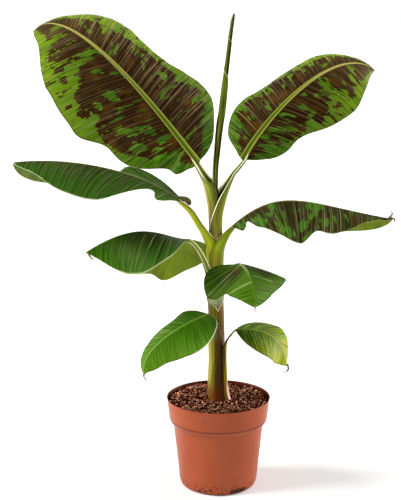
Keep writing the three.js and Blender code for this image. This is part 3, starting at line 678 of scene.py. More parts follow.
# Dry threads that hang or curl from the leaves' tips, and the curl at the middle left leaf's base:
# [x, y, z, radius] in mm, and their colour
tips = {
    "middle_right": [[[260, -45, 449.5, 1.6], [263, -46, 452.5, 1.6], [265.5, -46.5, 457, 1.2],
                      [264, -46.5, 462, 0.5]], "#5c4a20"],
    "middle_right_lower": [[[261, -45.5, 449.5, 1.5], [266, -46.5, 450, 1.5], [269.5, -47.5, 448, 1.1],
                            [267.5, -47.5, 444.5, 0.5]], "#3c2c18"],
    "middle_left": [[[-67, -12, 477, 1.6], [-57, -12, 475, 3.6], [-49, -13, 471.8, 4.4],
                     [-46, -14, 465, 2.8]], "#2c3a1c"],
    "lower_left": [[[-203, -60, 400, 1.5], [-200, -62, 396, 1.5], [-196, -62.5, 390.5, 1.2],
                    [-192, -62, 390, 0.5]], "#6a5428"],
    "front": [[[51, -144, 337, 1.2], [51.5, -146, 334, 1.0], [51, -146.5, 331, 0.7],
               [49.4, -146.5, 328, 0.4]], "#6c5c20"],
    "foot_left": [[[-115.5, -102, 219, 1.3], [-116, -104, 215.5, 1.0], [-113.5, -104.5, 211, 0.8],
                   [-111, -104, 206.5, 0.4]], "#4c3c1c"],
    "foot_right": [[[107, -57, 220, 1.5], [108.5, -58.5, 214, 1.3], [107.5, -59, 210.5, 1.2],
                    [103.5, -59, 206.5, 0.5]], "#4a3014"],
}


def buildTip(key, rows, colour):
    # A thin tube along a path, its radius from the rows, with folds along it
    rows = smoothRows(rows, 40)
    angle = roundTurn(14)
    along = unit(np.gradient(rows[:, :3], axis=0))
    side = unit(np.cross(along, [0.3, 1, 0.2]))
    up = np.cross(side, along)
    radius = rows[:, 3:4] * (1 + 0.25 * np.cos(3 * angle))
    points = (rows[:, None, :3] + side[:, None] * (radius * np.cos(angle))[..., None]
              + up[:, None] * (0.6 * radius * np.sin(angle))[..., None])
    paint = Paint(f"dry tip {key}", 0.7, 0.1)
    fibres = paint.noise(paint.place(), 500.0, 3.0)
    done = paint.finish(paint.over(colour, "#8c7a3c", paint.ramp(fibres, 0.4, 0.7)), fibres, 0.4, 0.0003)
    uv = surfaceMap(rows[:, 2:3], angle * rows[:, 3:4])
    tubePiece(f"dry_tip_{key}", points, None, done, uv)


for key, (rows, colour) in tips.items():
    buildTip(key, rows, colour)
print("leaf tips built")


# Leaf stalks with their sheaths, upward: [x, y, z, half width, half opening, thickness, turn].
# The half opening is the angle from the outer middle to a margin, and turn brings the opening to the
# leaf's left, both in degrees. The lower rows wrap the stem and sink into it, the last run into the blade.
stalks = {
    "upper_left": [[-5, 1, 400, 7.5, 178, 1.4, 0], [-6.4, 2, 430, 9.6, 178, 1.8, 0],
                   [-7.6, 3, 457, 10.1, 178, 2, 0], [-10.4, 5, 476, 10.7, 178, 2.4, 0],
                   [-12.8, 7.5, 489, 11.3, 172, 3, 0], [-16, 10.5, 497, 10.8, 124, 4.5, 0],
                   [-20.2, 15.5, 505, 9.8, 101, 6, 0], [-26, 21, 514, 8.8, 95, 6.5, 0],
                   [-33, 28, 524, 7.6, 94, 6.5, 0], [-39, 35.5, 531, 5.6, 94, 5, 0],
                   [-46, 43.5, 539, 3.6, 94, 3.4, 0]],
    "upper_right": [[-4, 1, 370, 9, 178, 1.4, 0], [-4.8, 1, 400, 10.7, 178, 1.6, 0],
                    [-5.2, 1.6, 430, 11, 174, 1.9, 0], [-4, 2, 450, 10.9, 146, 2.2, 0],
                    [1.6, 4.6, 471, 10.8, 132, 3.6, 0], [7.4, 8, 486, 10.2, 117, 5.2, 0],
                    [14, 12.2, 500, 9, 103, 6, 0], [20.4, 16, 511, 7.8, 97, 6.2, 0],
                    [29.5, 20.6, 521, 7.2, 96, 6.2, 0], [38.5, 26, 531, 6.2, 95, 5.4, 0],
                    [44, 32, 539, 4.6, 94, 4.2, 0], [49, 39, 548, 3, 94, 3, 0]],
    "middle_left": [[-6, 0, 340, 10.6, 178, 1.4, 0], [-7.4, 0, 372, 11.5, 174, 1.6, 0],
                    [-10.2, 0.4, 391, 11, 160, 2.2, 0], [-14.4, -2.6, 407, 10.4, 138, 3.4, 0],
                    [-21.4, -6.4, 422, 9.7, 116, 5, 0], [-30, -9, 436, 9, 108, 6.3, 0],
                    [-42, -12, 456, 8.6, 106, 6.5, 0], [-54, -14, 468, 7.6, 106, 6.5, 0],
                    [-62, -14.3, 473, 5.6, 106, 4.6, 0], [-72, -14.8, 480, 3.6, 106, 3, 0]],
    "middle_right": [[-5, 0, 330, 11.4, 178, 1.4, 0], [-5, -1.4, 362, 12.6, 178, 1.6, 0],
                     [-4, -3.4, 380, 12.3, 174, 2, 0], [-2.4, -4.8, 391, 11.6, 168, 2.6, 0],
                     [1.4, -6.2, 401, 10.6, 158, 3.6, 0], [7, -6, 410, 8.8, 148, 4.6, 0],
                     [13, -5, 419, 7.4, 140, 5.2, 0], [20, -4.4, 427.5, 6.2, 122, 5, 0],
                     [26.5, -5, 433, 4.8, 104, 4, 0], [34, -6.2, 440, 3.2, 95, 2.6, 0]],
    "lower_left": [[-5, 0, 285, 11.4, 178, 1.2, 0], [-6, -1.5, 315, 12.2, 160, 1.6, 0],
                   [-9, -7, 335, 9.6, 140, 2.4, 20], [-13.4, -12.6, 349, 7.2, 130, 3.2, 40],
                   [-20, -20, 369, 5.4, 126, 3.8, 55], [-28, -29, 389.5, 4.5, 124, 3.6, 60],
                   [-37, -38, 405, 4, 122, 3.2, 60], [-45, -43.5, 413, 3.6, 118, 3, 50],
                   [-52, -43, 413.6, 2.6, 114, 2.2, 30]],
    "front": [[-4, 0, 294.5, 13.6, 4, 2.6, 0], [-4.2, -0.4, 300, 13.8, 13, 2.8, 0],
              [-4.4, -0.8, 305, 14.2, 28, 3, 0], [-5, -2, 311, 15, 50, 3, 0], [-6, -5, 318, 15.4, 74, 2.8, 0],
              [-4, -12, 328, 12, 84, 2.6, 0], [3, -25, 342, 8.5, 90, 2.8, 0], [18, -37, 363, 6, 100, 3.6, 0],
              [27, -43, 374, 4.8, 106, 3.6, 0], [29, -50, 379.5, 3.4, 110, 2.6, 0],
              [28, -58, 382.6, 2.4, 110, 1.8, 0]],
    "foot_left": [[-2.6, 0, 196, 11.6, 178, 1.2, 0], [-3, -0.2, 216, 13.1, 168, 1.4, 0],
                  [-3.2, -1, 232, 13.5, 140, 1.6, 0], [-4, -2.6, 247, 13, 122, 1.8, 0],
                  [-5.4, -5.4, 258, 11.8, 120, 2, 0], [-7.4, -10.5, 270, 9, 110, 2.8, 0],
                  [-10.4, -22, 287, 5.4, 106, 3.2, 0], [-15, -33, 293.6, 4.1, 108, 3, 0],
                  [-21, -39.5, 293.8, 2.8, 110, 2.2, 0]],
    "foot_right": [[15, -6, 139, 8, 100, 2, 0], [12.6, -6.3, 147, 7, 102, 2.2, 0],
                   [10.8, -6.6, 160, 6.2, 104, 2.4, 0], [9.6, -7, 182, 5.8, 104, 3, 0],
                   [9, -8, 206, 5.2, 106, 3, 0], [9.4, -10.5, 230, 4.4, 110, 2.8, 0],
                   [12, -15.5, 245, 3, 112, 2.4, 0], [18.5, -22, 257, 2.7, 112, 2.2, 0],
                   [26, -28.6, 267.6, 2.6, 112, 2.2, 0], [31, -30, 269, 1.8, 112, 1.6, 0]],
}
# Colours: upper part, foot, margins, the darker colour of dark patches and of the painted shade on the flank
# turned from the light, the channel, its darker lines, and the painted light on the left side, which faces
# the key lamp
stalkColours = {
    "upper_left": ["#7c8c18", "#7a6e28", "#ece4b4", "#38480a", "#587012", "#34480a", "#b09458"],
    "upper_right": ["#a8ac0c", "#948420", "#fffcd0", "#44580a", "#4c600e", "#2a380a", "#a8b02c"],
    "middle_left": ["#c8d010", "#a4a81c", "#f8dcc0", "#8ca00c", "#5f7c14", "#3e500c", "#d4dc28"],
    "middle_right": ["#98a814", "#a08428", "#e8c8a0", "#506a0a", "#5f7c14", "#3e500c", "#6c8414"],
    "lower_left": ["#98a634", "#8c4c28", "#f4e8b8", "#5a6c14", "#94a844", "#708430", "#b4c050"],
    "front": ["#6a803a", "#9ca67c", "#e4e0b4", "#66704a", "#5a7a1c", "#3c5012", "#8c9c60"],
    "foot_left": ["#6c7418", "#706818", "#f4dcc8", "#4c3420", "#3a4a10", "#263008", "#a09444"],
    "foot_right": ["#8c9818", "#b8942c", "#c8c070", "#7c6c12", "#4a5a14", "#303a0c", "#c0ac38"],
}
stalkMesh = {"stations": 170, "columns": 45, "flatness": 0.84, "ridges": 0.12, "edge": 0.7}
# Marks by the way that the skin faces, where each starts and is full, and the way: right holds the pink foot,
# dusk the painted shade on the side turned from the key lamp and lit the painted light on the side facing it
stalkShades = {"right": [0.62, 0.95, [0.94, -0.34, 0]], "dusk": [0.25, 0.95, [0.8, -0.6, 0]],
               "lit": [0.74, 0.97, [-0.97, -0.24, 0]]}
# Width of the pale margin in mm, the share of the length where it starts to show, and the reach of the
# paler flank inside the channel
stalkEdges = {"upper_left": [1.4, 0.6, 6], "upper_right": [1.1, -1, 5], "middle_left": [1.6, -1, 6],
              "middle_right": [1.5, -1, 5], "lower_left": [0.7, -1, 1.6], "front": [1.2, -1, 3],
              "foot_left": [1.2, 1.1, 2], "foot_right": [0.5, 0.85, 1.5]}


def buildStalk(key, rows, seed):
    # A crescent carried along the path: its outer arc opens to the stem, its inner arc lies a
    # thickness inside it, thin at the two margins
    rows = smoothRows(rows, stalkMesh["stations"])
    centre, half, thick = rows[:, :3], rows[:, 3:4], rows[:, 5:6]
    opening, turn = np.radians(rows[:, 4:5]), np.radians(rows[:, 6:7])
    along = unit(np.gradient(centre, axis=0))
    level = levelSide(np.array(leaves[key]["rib"], float), along)
    up = np.cross(level, along)
    side = level * np.cos(turn) + up * np.sin(turn)
    inward = up * np.cos(turn) - level * np.sin(turn)
    share = np.linspace(-1, 1, stalkMesh["columns"])[None, :]
    share = np.sin(share * np.pi / 2) * 0.4 + share * 0.6
    angle = share * opening
    s = lengths(centre)[:, None]
    ridges = stalkMesh["ridges"] * grain(angle * half / 1.1, s / 60, seed) * smoothstep(0, 0.2, thick / half)
    flat = 1 - (1 - stalkMesh["flatness"]) * smoothstep(0.1, 0.6, thick / half)
    skinThick = between((stalkMesh["edge"], thick), np.sqrt(np.clip(1 - share ** 2, 0, 1)))

    def arc(radius):  # points at a radius, by angle from the side that faces away from the stem
        return (centre[:, None] + side[:, None] * (radius * np.sin(angle))[..., None]
                - inward[:, None] * (radius * flat * np.cos(angle))[..., None])

    outer = arc(half + ridges)
    inner = arc(half - skinThick)
    fromEdge = (1 - np.abs(share)) * opening * half
    facing = np.sin(angle)[..., None] * side[:, None] - np.cos(angle)[..., None] * inward[:, None]
    edgeWidth, edgeFrom, flankReach = stalkEdges[key]
    shown = smoothstep(edgeFrom, edgeFrom + 0.1, s / s[-1])
    beyond = fromEdge - edgeWidth * shown
    marks = {
        "edge": smoothstep(edgeWidth + 0.4, edgeWidth - 0.4, fromEdge) * shown,
        "line": smoothstep(0.2, 0.6, beyond) * smoothstep(2.8, 1.6, beyond),
        "beside": bell(fromEdge, 6, 2.6),
        "flank": 0.9 * smoothstep(flankReach, 0.4 * flankReach, fromEdge) * (share < 0),
        "toBlade": s / s[-1],
    }
    for mark, (start, full, way) in stalkShades.items():
        marks[mark] = smoothstep(start, full, facing @ np.array(way))
    shellPiece(f"stalk_and_sheath_{key}", outer, inner, [f"stalk_{key}"],
               stalkMaterials(key), surfaceMap(s, angle * half), marks)


def stalkMaterials(key):
    # Yellow-green with long fibres, painted shade on the flank turned from the key lamp, painted light on the
    # side facing it, a cream margin and a dark line beside it. Low down the sheaths share the stem's purple
    # streak, two take on its colour and one is pink at the soil.
    upperColour, footColour, edgeColour, darkAndShadeColour, grooveColour, grooveDark, litColour = stalkColours[key]
    outer = Paint(f"stalk {key}", 0.42, 0.15, leafShine["tint"])
    fibres = outer.strokes(18, 1500, 4.0)
    broad = outer.strokes(9, 260, 3.0)
    colour = outer.over(footColour, upperColour, outer.ramp(outer.mark("toBlade"), 0.25, 0.6))
    colour = outer.over(colour, darkAndShadeColour, outer.ramp(broad, 0.46, 0.64), 0.5)
    # Painted shade on the flank turned from the key lamp, then painted light on the side facing it
    colour = outer.over(colour, darkAndShadeColour, outer.mark("dusk"), 0.6)
    colour = outer.over(colour, litColour, outer.mark("lit"), 0.7)
    colour = outer.over(colour, darkAndShadeColour, outer.mark("beside"), 0.7)
    colour = outer.over(colour, edgeColour, outer.ramp(fibres, 0.5, 0.7), 0.25)
    if key in stemBlend:
        colour = outer.over(colour, stemColour(outer, broad, fibres), outer.height(*stemBlend[key]))
    colour = addStreak(outer, colour)
    colour = outer.over(colour, lineColour, outer.mark("line"), 0.9)
    colour = outer.over(colour, edgeColour, outer.mark("edge"))
    if key == "foot_right":
        colour = outer.over(colour, pinkFoot[0], outer.height(*pinkFoot[1:]), outer.mark("right"))
    outerDone = outer.finish(colour, fibres, 0.35)
    inner = Paint(f"stalk {key} groove", 0.5, 0.1, leafShine["tint"])
    fibres = inner.strokes(18, 1200, 3.0)
    colour = inner.over(grooveDark, grooveColour, inner.ramp(fibres, 0.35, 0.7))
    colour = inner.over(colour, edgeColour, inner.mark("flank"))
    innerDone = inner.finish(inner.over(colour, edgeColour, inner.mark("edge")), fibres, 0.3)
    rim = Paint(f"stalk {key} margin", 0.5, 0.1)
    pale = rim.over(edgeColour, upperColour, rim.strokes(60, 1, 2.0), 0.4)
    return [outerDone, innerDone, rim.finish(rim.over(lineColour, pale, rim.mark("edge")))]


lineColour = "#300c0a"  # of the dark line beside a stalk's pale margin
# The pink foot of the front right sheath: its colour, and the heights in metres where it starts and is full
pinkFoot = ["#ecc4b0", 0.18, 0.158]
# The streak's azimuth, the stem's middle there in mm, how far round it fades, and its heights in metres
streak = {"azimuth": -76, "middle": -2.5, "from": 0.8, "to": 0.95, "top": 0.27, "bottom": 0.235,
          "colour": "#34100c", "strength": 0.9, "footTop": 0.184, "footFull": 0.156, "footColour": "#64240e",
          "footStrength": 0.9}
# Heights in metres between which a sheath takes on the stem's colour, downward
stemBlend = {"foot_left": [0.255, 0.225], "lower_left": [0.338, 0.322]}


def stemColour(paint, broad, fibres):
    # Olive with yellow-green bands, on the left a tan painted highlight low down on the side that faces the
    # key lamp, with a reddish edge above, browner on the right with a pink edge above
    facing = lambda degrees, low, high: paint.ramp(paint.facing(degrees), low, high)
    above = paint.height(0.26, 0.28)
    colour = paint.over("#585410", "#847c1c", paint.ramp(broad, 0.4, 0.62))
    # Painted highlight: tan on the left side, which faces the key lamp, below 0.26 m
    colour = paint.over(colour, "#a09444", facing(-166, 0.7, 0.97), paint.math("SUBTRACT", 1.0, above), 0.6)
    colour = paint.over(colour, "#501c14", facing(-174, 0.84, 0.96), above, 0.9)
    rightColour = paint.over("#4a1c10", "#84643a", paint.height(0.29, 0.32))
    colour = paint.over(colour, rightColour, facing(-25, 0.2, 0.9), 0.8)
    colour = paint.over(colour, "#a8705c", facing(-6, 0.88, 0.98), above, paint.ramp(broad, 0.3, 0.6), 0.7)
    return paint.over(colour, "#a8985a", paint.ramp(fibres, 0.5, 0.7), 0.3)


def addStreak(paint, colour):
    # The dark purple streak down the front of the stem, and the reddish foot at the soil
    fibres = paint.noise(paint.place((300, 300, 12)), 1.0, 3.0)
    facing = paint.math("ADD", paint.facing(streak["azimuth"], streak["middle"]),
                        paint.math("MULTIPLY", paint.math("SUBTRACT", fibres, 0.5), 0.35))
    colour = paint.over(colour, streak["colour"], paint.ramp(facing, streak["from"], streak["to"]),
                        paint.height(streak["top"], streak["bottom"]), streak["strength"])
    return paint.over(colour, streak["footColour"], paint.height(streak["footTop"], streak["footFull"]),
                      paint.ramp(fibres, 0.3, 0.6), streak["footStrength"])


for order, (key, rows) in enumerate(stalks.items()):
    buildStalk(key, rows, 400 + 10 * order)
print("stalks built")


# Stem: [x, y, z, radius] from under the soil's top up, with the relief of the sheaths' edges
stem = {
    "rows": [[0.5, 0, 138, 18], [0.5, 0, 143, 17], [-1.5, 0, 155, 15.6], [-2.8, 0, 180, 14.5],
             [-2.6, 0, 231, 12.9], [-3.8, 0, 304, 12.1], [-6, 0, 379, 11.0], [-5.6, 0, 415, 9.4],
             [-5.2, 0, 430, 7.6]],
    "stations": 190, "around": 96, "ridge": 0.22, "foot": 143,
    # Raised sheath edges: angle at the foot in degrees from +X, turn in radians per mm, step in mm
    "edges": [[-62, 0.002, 0.7], [-140, -0.003, 0.45], [100, 0.005, 0.8], [20, 0.004, 0.6]],
}


def buildStem():
    # A tube whose radius steps up at each sheath edge and falls back slowly round the stem
    rows = smoothRows(stem["rows"], stem["stations"])
    angle = roundTurn(stem["around"])
    z = rows[:, 2:3]
    relief = stem["ridge"] * grain(np.cos(angle) * 6 + 10, np.sin(angle) * 6 + z / 90, 31)
    for degrees, turn, step in stem["edges"]:
        behind = (angle - np.radians(degrees) - turn * (z - stem["foot"])) % (2 * np.pi)
        rise = smoothstep(2 * np.pi, 2 * np.pi - 0.12, behind)
        relief = relief + step * (behind / (2 * np.pi) - 0.5) * rise
    points = ringPoints(rows[:, :3], rows[:, 3:4] + relief, angle)
    paint = Paint("stem", 0.45, 0.15, leafShine["tint"])
    fibres = paint.strokes(14, 1000, 4.0)
    colour = addStreak(paint, stemColour(paint, paint.strokes(7, 210, 3.0), fibres))
    done = paint.finish(colour, fibres, 0.4, 0.0005)
    tubePiece("stem_core", points, ["stem"], done, surfaceMap(z, angle * rows[:, 3:4]))


buildStem()

# Rolled leaf: [x, y, z, radius], wound as a strip whose free margin turns as it climbs
spear = {
    "rows": [[-5.5, 5, 424, 4], [-5.5, 5, 450, 4.5], [-5.6, 5, 513, 4.9], [-2.9, 5, 548, 5.5],
             [0.6, 5, 583, 5.9], [4.4, 5, 612, 6.3], [8.3, 5, 648, 5.5], [10.4, 5, 668, 4.3],
             [14.6, 5, 706, 3.8], [19.2, 5, 743, 3.1], [22.2, 5, 758, 1.5]],
    "stations": 300, "columns": 81, "wraps": 1.45, "thick": 0.5, "step": 0.16,
    # Heights and how far the free margin has turned there, in degrees
    "marginTurn": [[424, -60], [560, -30], [630, 60], [656, 150], [677, 370], [712, 500], [724, 730],
                   [758, 850]],
    "sideChange": 664,  # the height from which the right side is the dark one
}


def buildSpear():
    # Spiral section: the angle grows from the free margin inward while the radius shrinks
    rows = smoothRows(spear["rows"], spear["stations"])
    share = np.linspace(0, 1, spear["columns"])[None, :]
    z = rows[:, 2:3]
    turn = np.array(spear["marginTurn"], float)
    start = np.radians(np.interp(z, turn[:, 0], turn[:, 1]))
    angle = np.pi - start - 2 * np.pi * spear["wraps"] * share
    radius = rows[:, 3:4] * (1 - spear["step"] * share * spear["wraps"])
    radius = radius + 0.1 * grain(angle * 2, z / 40, 41)
    thick = np.minimum(spear["thick"], 0.35 * rows[:, 3:4]) * (0.5 + 0.5 * smoothstep(0, 0.06, share))
    ragged = 0.1 * grain(angle, z / 30, 43)
    flanks = smoothstep(0.97, 0.8, np.abs(np.cos(angle - np.radians(-87))) + ragged)
    leftEdge = smoothstep(0.75, 0.95, np.cos(angle - np.pi) + ragged)
    rightSide = smoothstep(0.1, 0.5, np.cos(angle - np.radians(-15)) + ragged)
    middle = smoothstep(585, 615, z)
    marks = {
        "dark": flanks * (1 - middle) + np.where(z < spear["sideChange"], leftEdge * middle, rightSide),
        "edge": smoothstep(0.035, 0.008, share),
        "top": smoothstep(600, 760, z),
    }
    paint = Paint("rolled leaf", 0.6, 0.05, leafShine["tint"])
    fibres = paint.strokes(30, 1100, 3.0)
    colour = paint.over("#34440a", "#64721e", paint.ramp(fibres, 0.4, 0.65))
    colour = paint.over(colour, "#200a04", paint.mark("dark"))
    colour = paint.over(colour, "#4c4c1c", paint.mark("top"), 0.3)
    colour = paint.over(colour, "#c8c890", paint.mark("edge"))
    done = paint.finish(colour, fibres)
    outer, inner = (ringPoints(rows[:, :3], size, angle) for size in (radius, radius - thick))
    shellPiece("rolled_strip", outer, inner, ["leaf_spear"], [done, done, done],
               surfaceMap(z, angle * rows[:, 3:4]), marks)


buildSpear()
print("stem and rolled leaf built")


# Pot: [radius, height] round its wall, from the underside's middle up the outside and down the inside.
# seams: height and strength of the dark lines, painted shade in the creases of the step under the band. mark:
# azimuth, height, radius and relief of the mould mark.
# bandRadius and wallRadius turn an angle into a length on the band and on the wall.
pot = {
    "outside": [[0.5, 0], [56, 0], [60.5, 2.2], [63, 9], [73, 104], [77.5, 108], [79.5, 113], [83.2, 146.5],
                [84.4, 148]],
    "inside": [[82.8, 148], [77.3, 112.4], [75.3, 108.6], [70.8, 104.6], [61.2, 9], [58, 3], [0.5, 3]],
    "segments": 280, "step": 1.5, "round": 1.3, "creaseShades": [[112.6, 1.0], [104.5, 0.14]], "dirtTop": 24,
    "drainAngles": [300, 60, 180], "drainWidth": 26, "drainRadius": 56, "drainLow": 0.8, "drainHigh": 9.8,
    "mark": [-106, 133.5, 3.4, 0.3], "bandRadius": 80, "wallRadius": 75,
}


def roundedProfile(rows, step, size):
    # The corners of a profile rounded: even steps along it, then blended with a bell of the given size
    rows = np.asarray(rows, float)
    length = lengths(rows)
    even = np.linspace(0, length[-1], int(length[-1] / step))
    fine = np.stack([np.interp(even, length, column) for column in rows.T], 1)
    reach = np.arange(-4, 5) * step
    weights = bell(reach, 0, size)
    padded = np.vstack([np.repeat(fine[:1], 4, 0), fine, np.repeat(fine[-1:], 4, 0)])
    return np.stack([np.convolve(column, weights / weights.sum(), "valid") for column in padded.T], 1)


def buildPot():
    # The profile turned round the axis, pressed in at the drain slots and raised at the mould mark
    profile = roundedProfile(pot["outside"] + pot["inside"], pot["step"], pot["round"])
    angle = roundTurn(pot["segments"])
    radius, z = profile[:, :1], profile[:, 1:]
    outer = np.arange(len(profile))[:, None] <= np.argmax(profile[:, 1])
    for degrees in pot["drainAngles"]:
        aside = radius * np.sin(angle - np.radians(degrees))
        facing = np.cos(angle - np.radians(degrees)) > 0
        inSlot = (np.abs(aside) < pot["drainWidth"] / 2) & facing & outer
        inSlot = inSlot & (z > pot["drainLow"]) & (z < pot["drainHigh"])
        radius = np.where(inSlot, np.minimum(radius, pot["drainRadius"]), radius)
    degrees, markZ, markSize, markHeight = pot["mark"]
    aside = (angle - np.radians(degrees) + np.pi) % (2 * np.pi) - np.pi
    ring = bell(np.hypot(aside * pot["bandRadius"], z - markZ), markSize, 0.8) * outer
    radius = radius + markHeight * ring
    points = np.stack([radius * np.cos(angle), radius * np.sin(angle), z + 0 * angle], -1)
    marks = {
        "inside": 1.0 - outer,
        # Painted shade in the creases of the step under the band
        "creaseShade": sum(share * bell(z, height, 1.0) for height, share in pot["creaseShades"]) * outer,
        "ring": ring,
        "rim": smoothstep(146.4, 147.4, z),
        "dirt": smoothstep(pot["dirtTop"], 5, z) * outer,
        "drain": 1.0 * (radius < pot["drainRadius"] + 0.1) * (z > 0.3) * outer,
    }
    tubePiece("pot_wall", points, ["pot"], potMaterial(),
              surfaceMap(angle * pot["wallRadius"], z), marks)


def potMaterial():
    # Satin terracotta plastic: cloudy colour, fine scratches and specks, earth low down, near-black painted
    # shade with pale specks of earth in the drain slots, painted shade on the inside, a darker line at the
    # rim, painted shade in the creases under the band, and a darker mould mark
    paint = Paint("pot plastic", 0.42, 0.2, (1.0, 0.8, 0.66))
    place = paint.place()
    specks = lambda scale, detail, low, high: paint.ramp(paint.noise(place, scale, detail), low, high)
    cloud = paint.noise(place, 22.0, 4.0)
    scratch = paint.strokes(260, 900, 2.0)
    colour = paint.over("#883a1e", "#9a4c2e", cloud)
    colour = paint.over(colour, "#c08464", paint.ramp(scratch, 0.64, 0.8), 0.2)
    colour = paint.over(colour, "#4a2a1c", specks(420.0, 1.0, 0.73, 0.78), 0.7)
    dusk = paint.noise(place, 46.0, 3.0, 0.6, 0.4)
    colour = paint.over(colour, "#7a4438", paint.ramp(dusk, 0.56, 0.7), 0.18)
    colour = paint.over(colour, "#2c0e06", specks(270.0, 2.0, 0.53, 0.58), paint.mark("dirt"))
    colour = paint.over(colour, "#b4481c", specks(160.0, 2.0, 0.5, 0.62), paint.mark("dirt"), 0.6)
    # Near-black painted shade in the drain slots, with pale specks of earth on it
    slotShadeAndGrit = paint.over("#0c0806", "#a08c80", specks(520.0, 2.0, 0.58, 0.64))
    # Painted shade on the inside and in the creases under the band, with the darker mould mark and rim
    for new, part, strength in ((slotShadeAndGrit, "drain", 1.0), ("#340a04", "inside", 0.85), ("#5c2410", "ring", 0.35),
                                ("#5c1c0c", "rim", 0.7), ("#3c1006", "creaseShade", 1.0)):
        colour = paint.over(colour, new, paint.mark(part), strength)
    return paint.finish(colour, paint.math("ADD", scratch, cloud), 0.12)


buildPot()
print("pot built")


# Potting soil: a plug with a rough top, crumbs of peat and loose fibres on it
soil = {
    "wall": [[0.5, 3.6], [57.5, 3.6], [60.6, 9.4], [70.2, 104.4], [74.6, 108.8], [76.6, 112.6], [80.6, 139.5],
             [81, 143]],
    "top": 143.6, "edge": 143, "rough": 1.4, "rings": 110, "segments": 260,
    "crumbs": 6500, "crumbSize": [0.6, 2.1], "crumbReach": 80.6,
    "fibres": 4500, "fibreLength": [2, 7], "fibreRadius": 0.24, "fibreReach": 75,
}


def soilHeight(x, y):  # a low mound towards the stem, with lumps that are flatter at the wall
    far = np.hypot(x, y) / 80
    lumps = grain(x / 7 + 9, y / 7 + 9, 61) + 0.6 * grain(x / 3 + 9, y / 3 + 9, 62)
    return between((soil["edge"], soil["top"]), 1 - far) + soil["rough"] * lumps * (1 - 0.5 * far ** 6)


def buildSoil():
    # Rings up the wall inside the pot, then inwards over the rough top
    wall = np.array(soil["wall"], float)
    radii = np.linspace(wall[-1, 0], 0.5, soil["rings"])
    angle = roundTurn(soil["segments"])
    radius = np.r_[wall[:, 0], radii[1:]][:, None]
    x, y = radius * np.cos(angle), radius * np.sin(angle)
    z = np.where(np.arange(len(radius))[:, None] >= len(wall) - 1, soilHeight(x, y),
                 np.r_[wall[:, 1], radii[1:]][:, None])
    tubePiece("soil_plug", np.stack([x, y, z], -1), ["soil"], soilMaterial())


def soilMaterial():
    paint = Paint("potting soil", 0.9, 0.0)
    place = paint.place()
    fine = paint.noise(place, 900.0, 4.0)
    lumps = paint.noise(place, 190.0, 3.0)
    colour = paint.over("#100200", "#300c04", paint.ramp(lumps, 0.35, 0.7))
    colour = paint.over(colour, "#7c3c24", paint.ramp(fine, 0.62, 0.72))
    return paint.finish(colour, fine, 0.8, 0.001)


def scatterPiece(name, points, faces, turn, place, material, rng):
    # Many small shapes as one piece, each turned and put in its place, with a random shade of its own
    count, corners = points.shape[:2]
    points = np.einsum("nij,nkj->nki", turn, points) + place[:, None]
    faces = (faces[None] + (np.arange(count) * corners)[:, None, None]).reshape(-1, 3)
    meshPiece(name, points, faces, ["soil"], [material],
              marks={"shade": np.repeat(rng.uniform(0, 1, count), corners)})


def randomTurns(rng, count):  # random rotation matrices
    q, _ = np.linalg.qr(rng.normal(size=(count, 3, 3)))
    return q * np.sign(np.linalg.det(q))[:, None, None]


def buildCrumbs():
    # Peat crumbs: rough lumps of 20 faces on the soil, with their own shade
    rng = np.random.default_rng(71)
    golden = (1 + 5 ** 0.5) / 2
    template = np.array([[-1, golden, 0], [1, golden, 0], [-1, -golden, 0], [1, -golden, 0], [0, -1, golden],
                         [0, 1, golden], [0, -1, -golden], [0, 1, -golden], [golden, 0, -1], [golden, 0, 1],
                         [-golden, 0, -1], [-golden, 0, 1]]) / golden
    faces = np.array([[0, 11, 5], [0, 5, 1], [0, 1, 7], [0, 7, 10], [0, 10, 11], [1, 5, 9], [5, 11, 4],
                      [11, 10, 2], [10, 7, 6], [7, 1, 8], [3, 9, 4], [3, 4, 2], [3, 2, 6], [3, 6, 8],
                      [3, 8, 9], [4, 9, 5], [2, 4, 11], [6, 2, 10], [8, 6, 7], [9, 8, 1]])
    count = soil["crumbs"]
    far = soil["crumbReach"] * np.sqrt(rng.uniform(0.02, 1, count))
    angle = rng.uniform(0, 2 * np.pi, count)
    low, high = soil["crumbSize"]
    size = low + (high - low) * rng.power(0.45, count)[:, None] * rng.uniform(0.6, 1.2, (count, 3))
    x, y = (far - size.max(1)) * np.cos(angle), (far - size.max(1)) * np.sin(angle)
    place = np.stack([x, y, soilHeight(x, y) + 0.25 * size[:, 2]], 1)
    scatterPiece("peat_crumbs", template * size[:, None], faces, randomTurns(rng, count), place,
                 crumbMaterial(), rng)


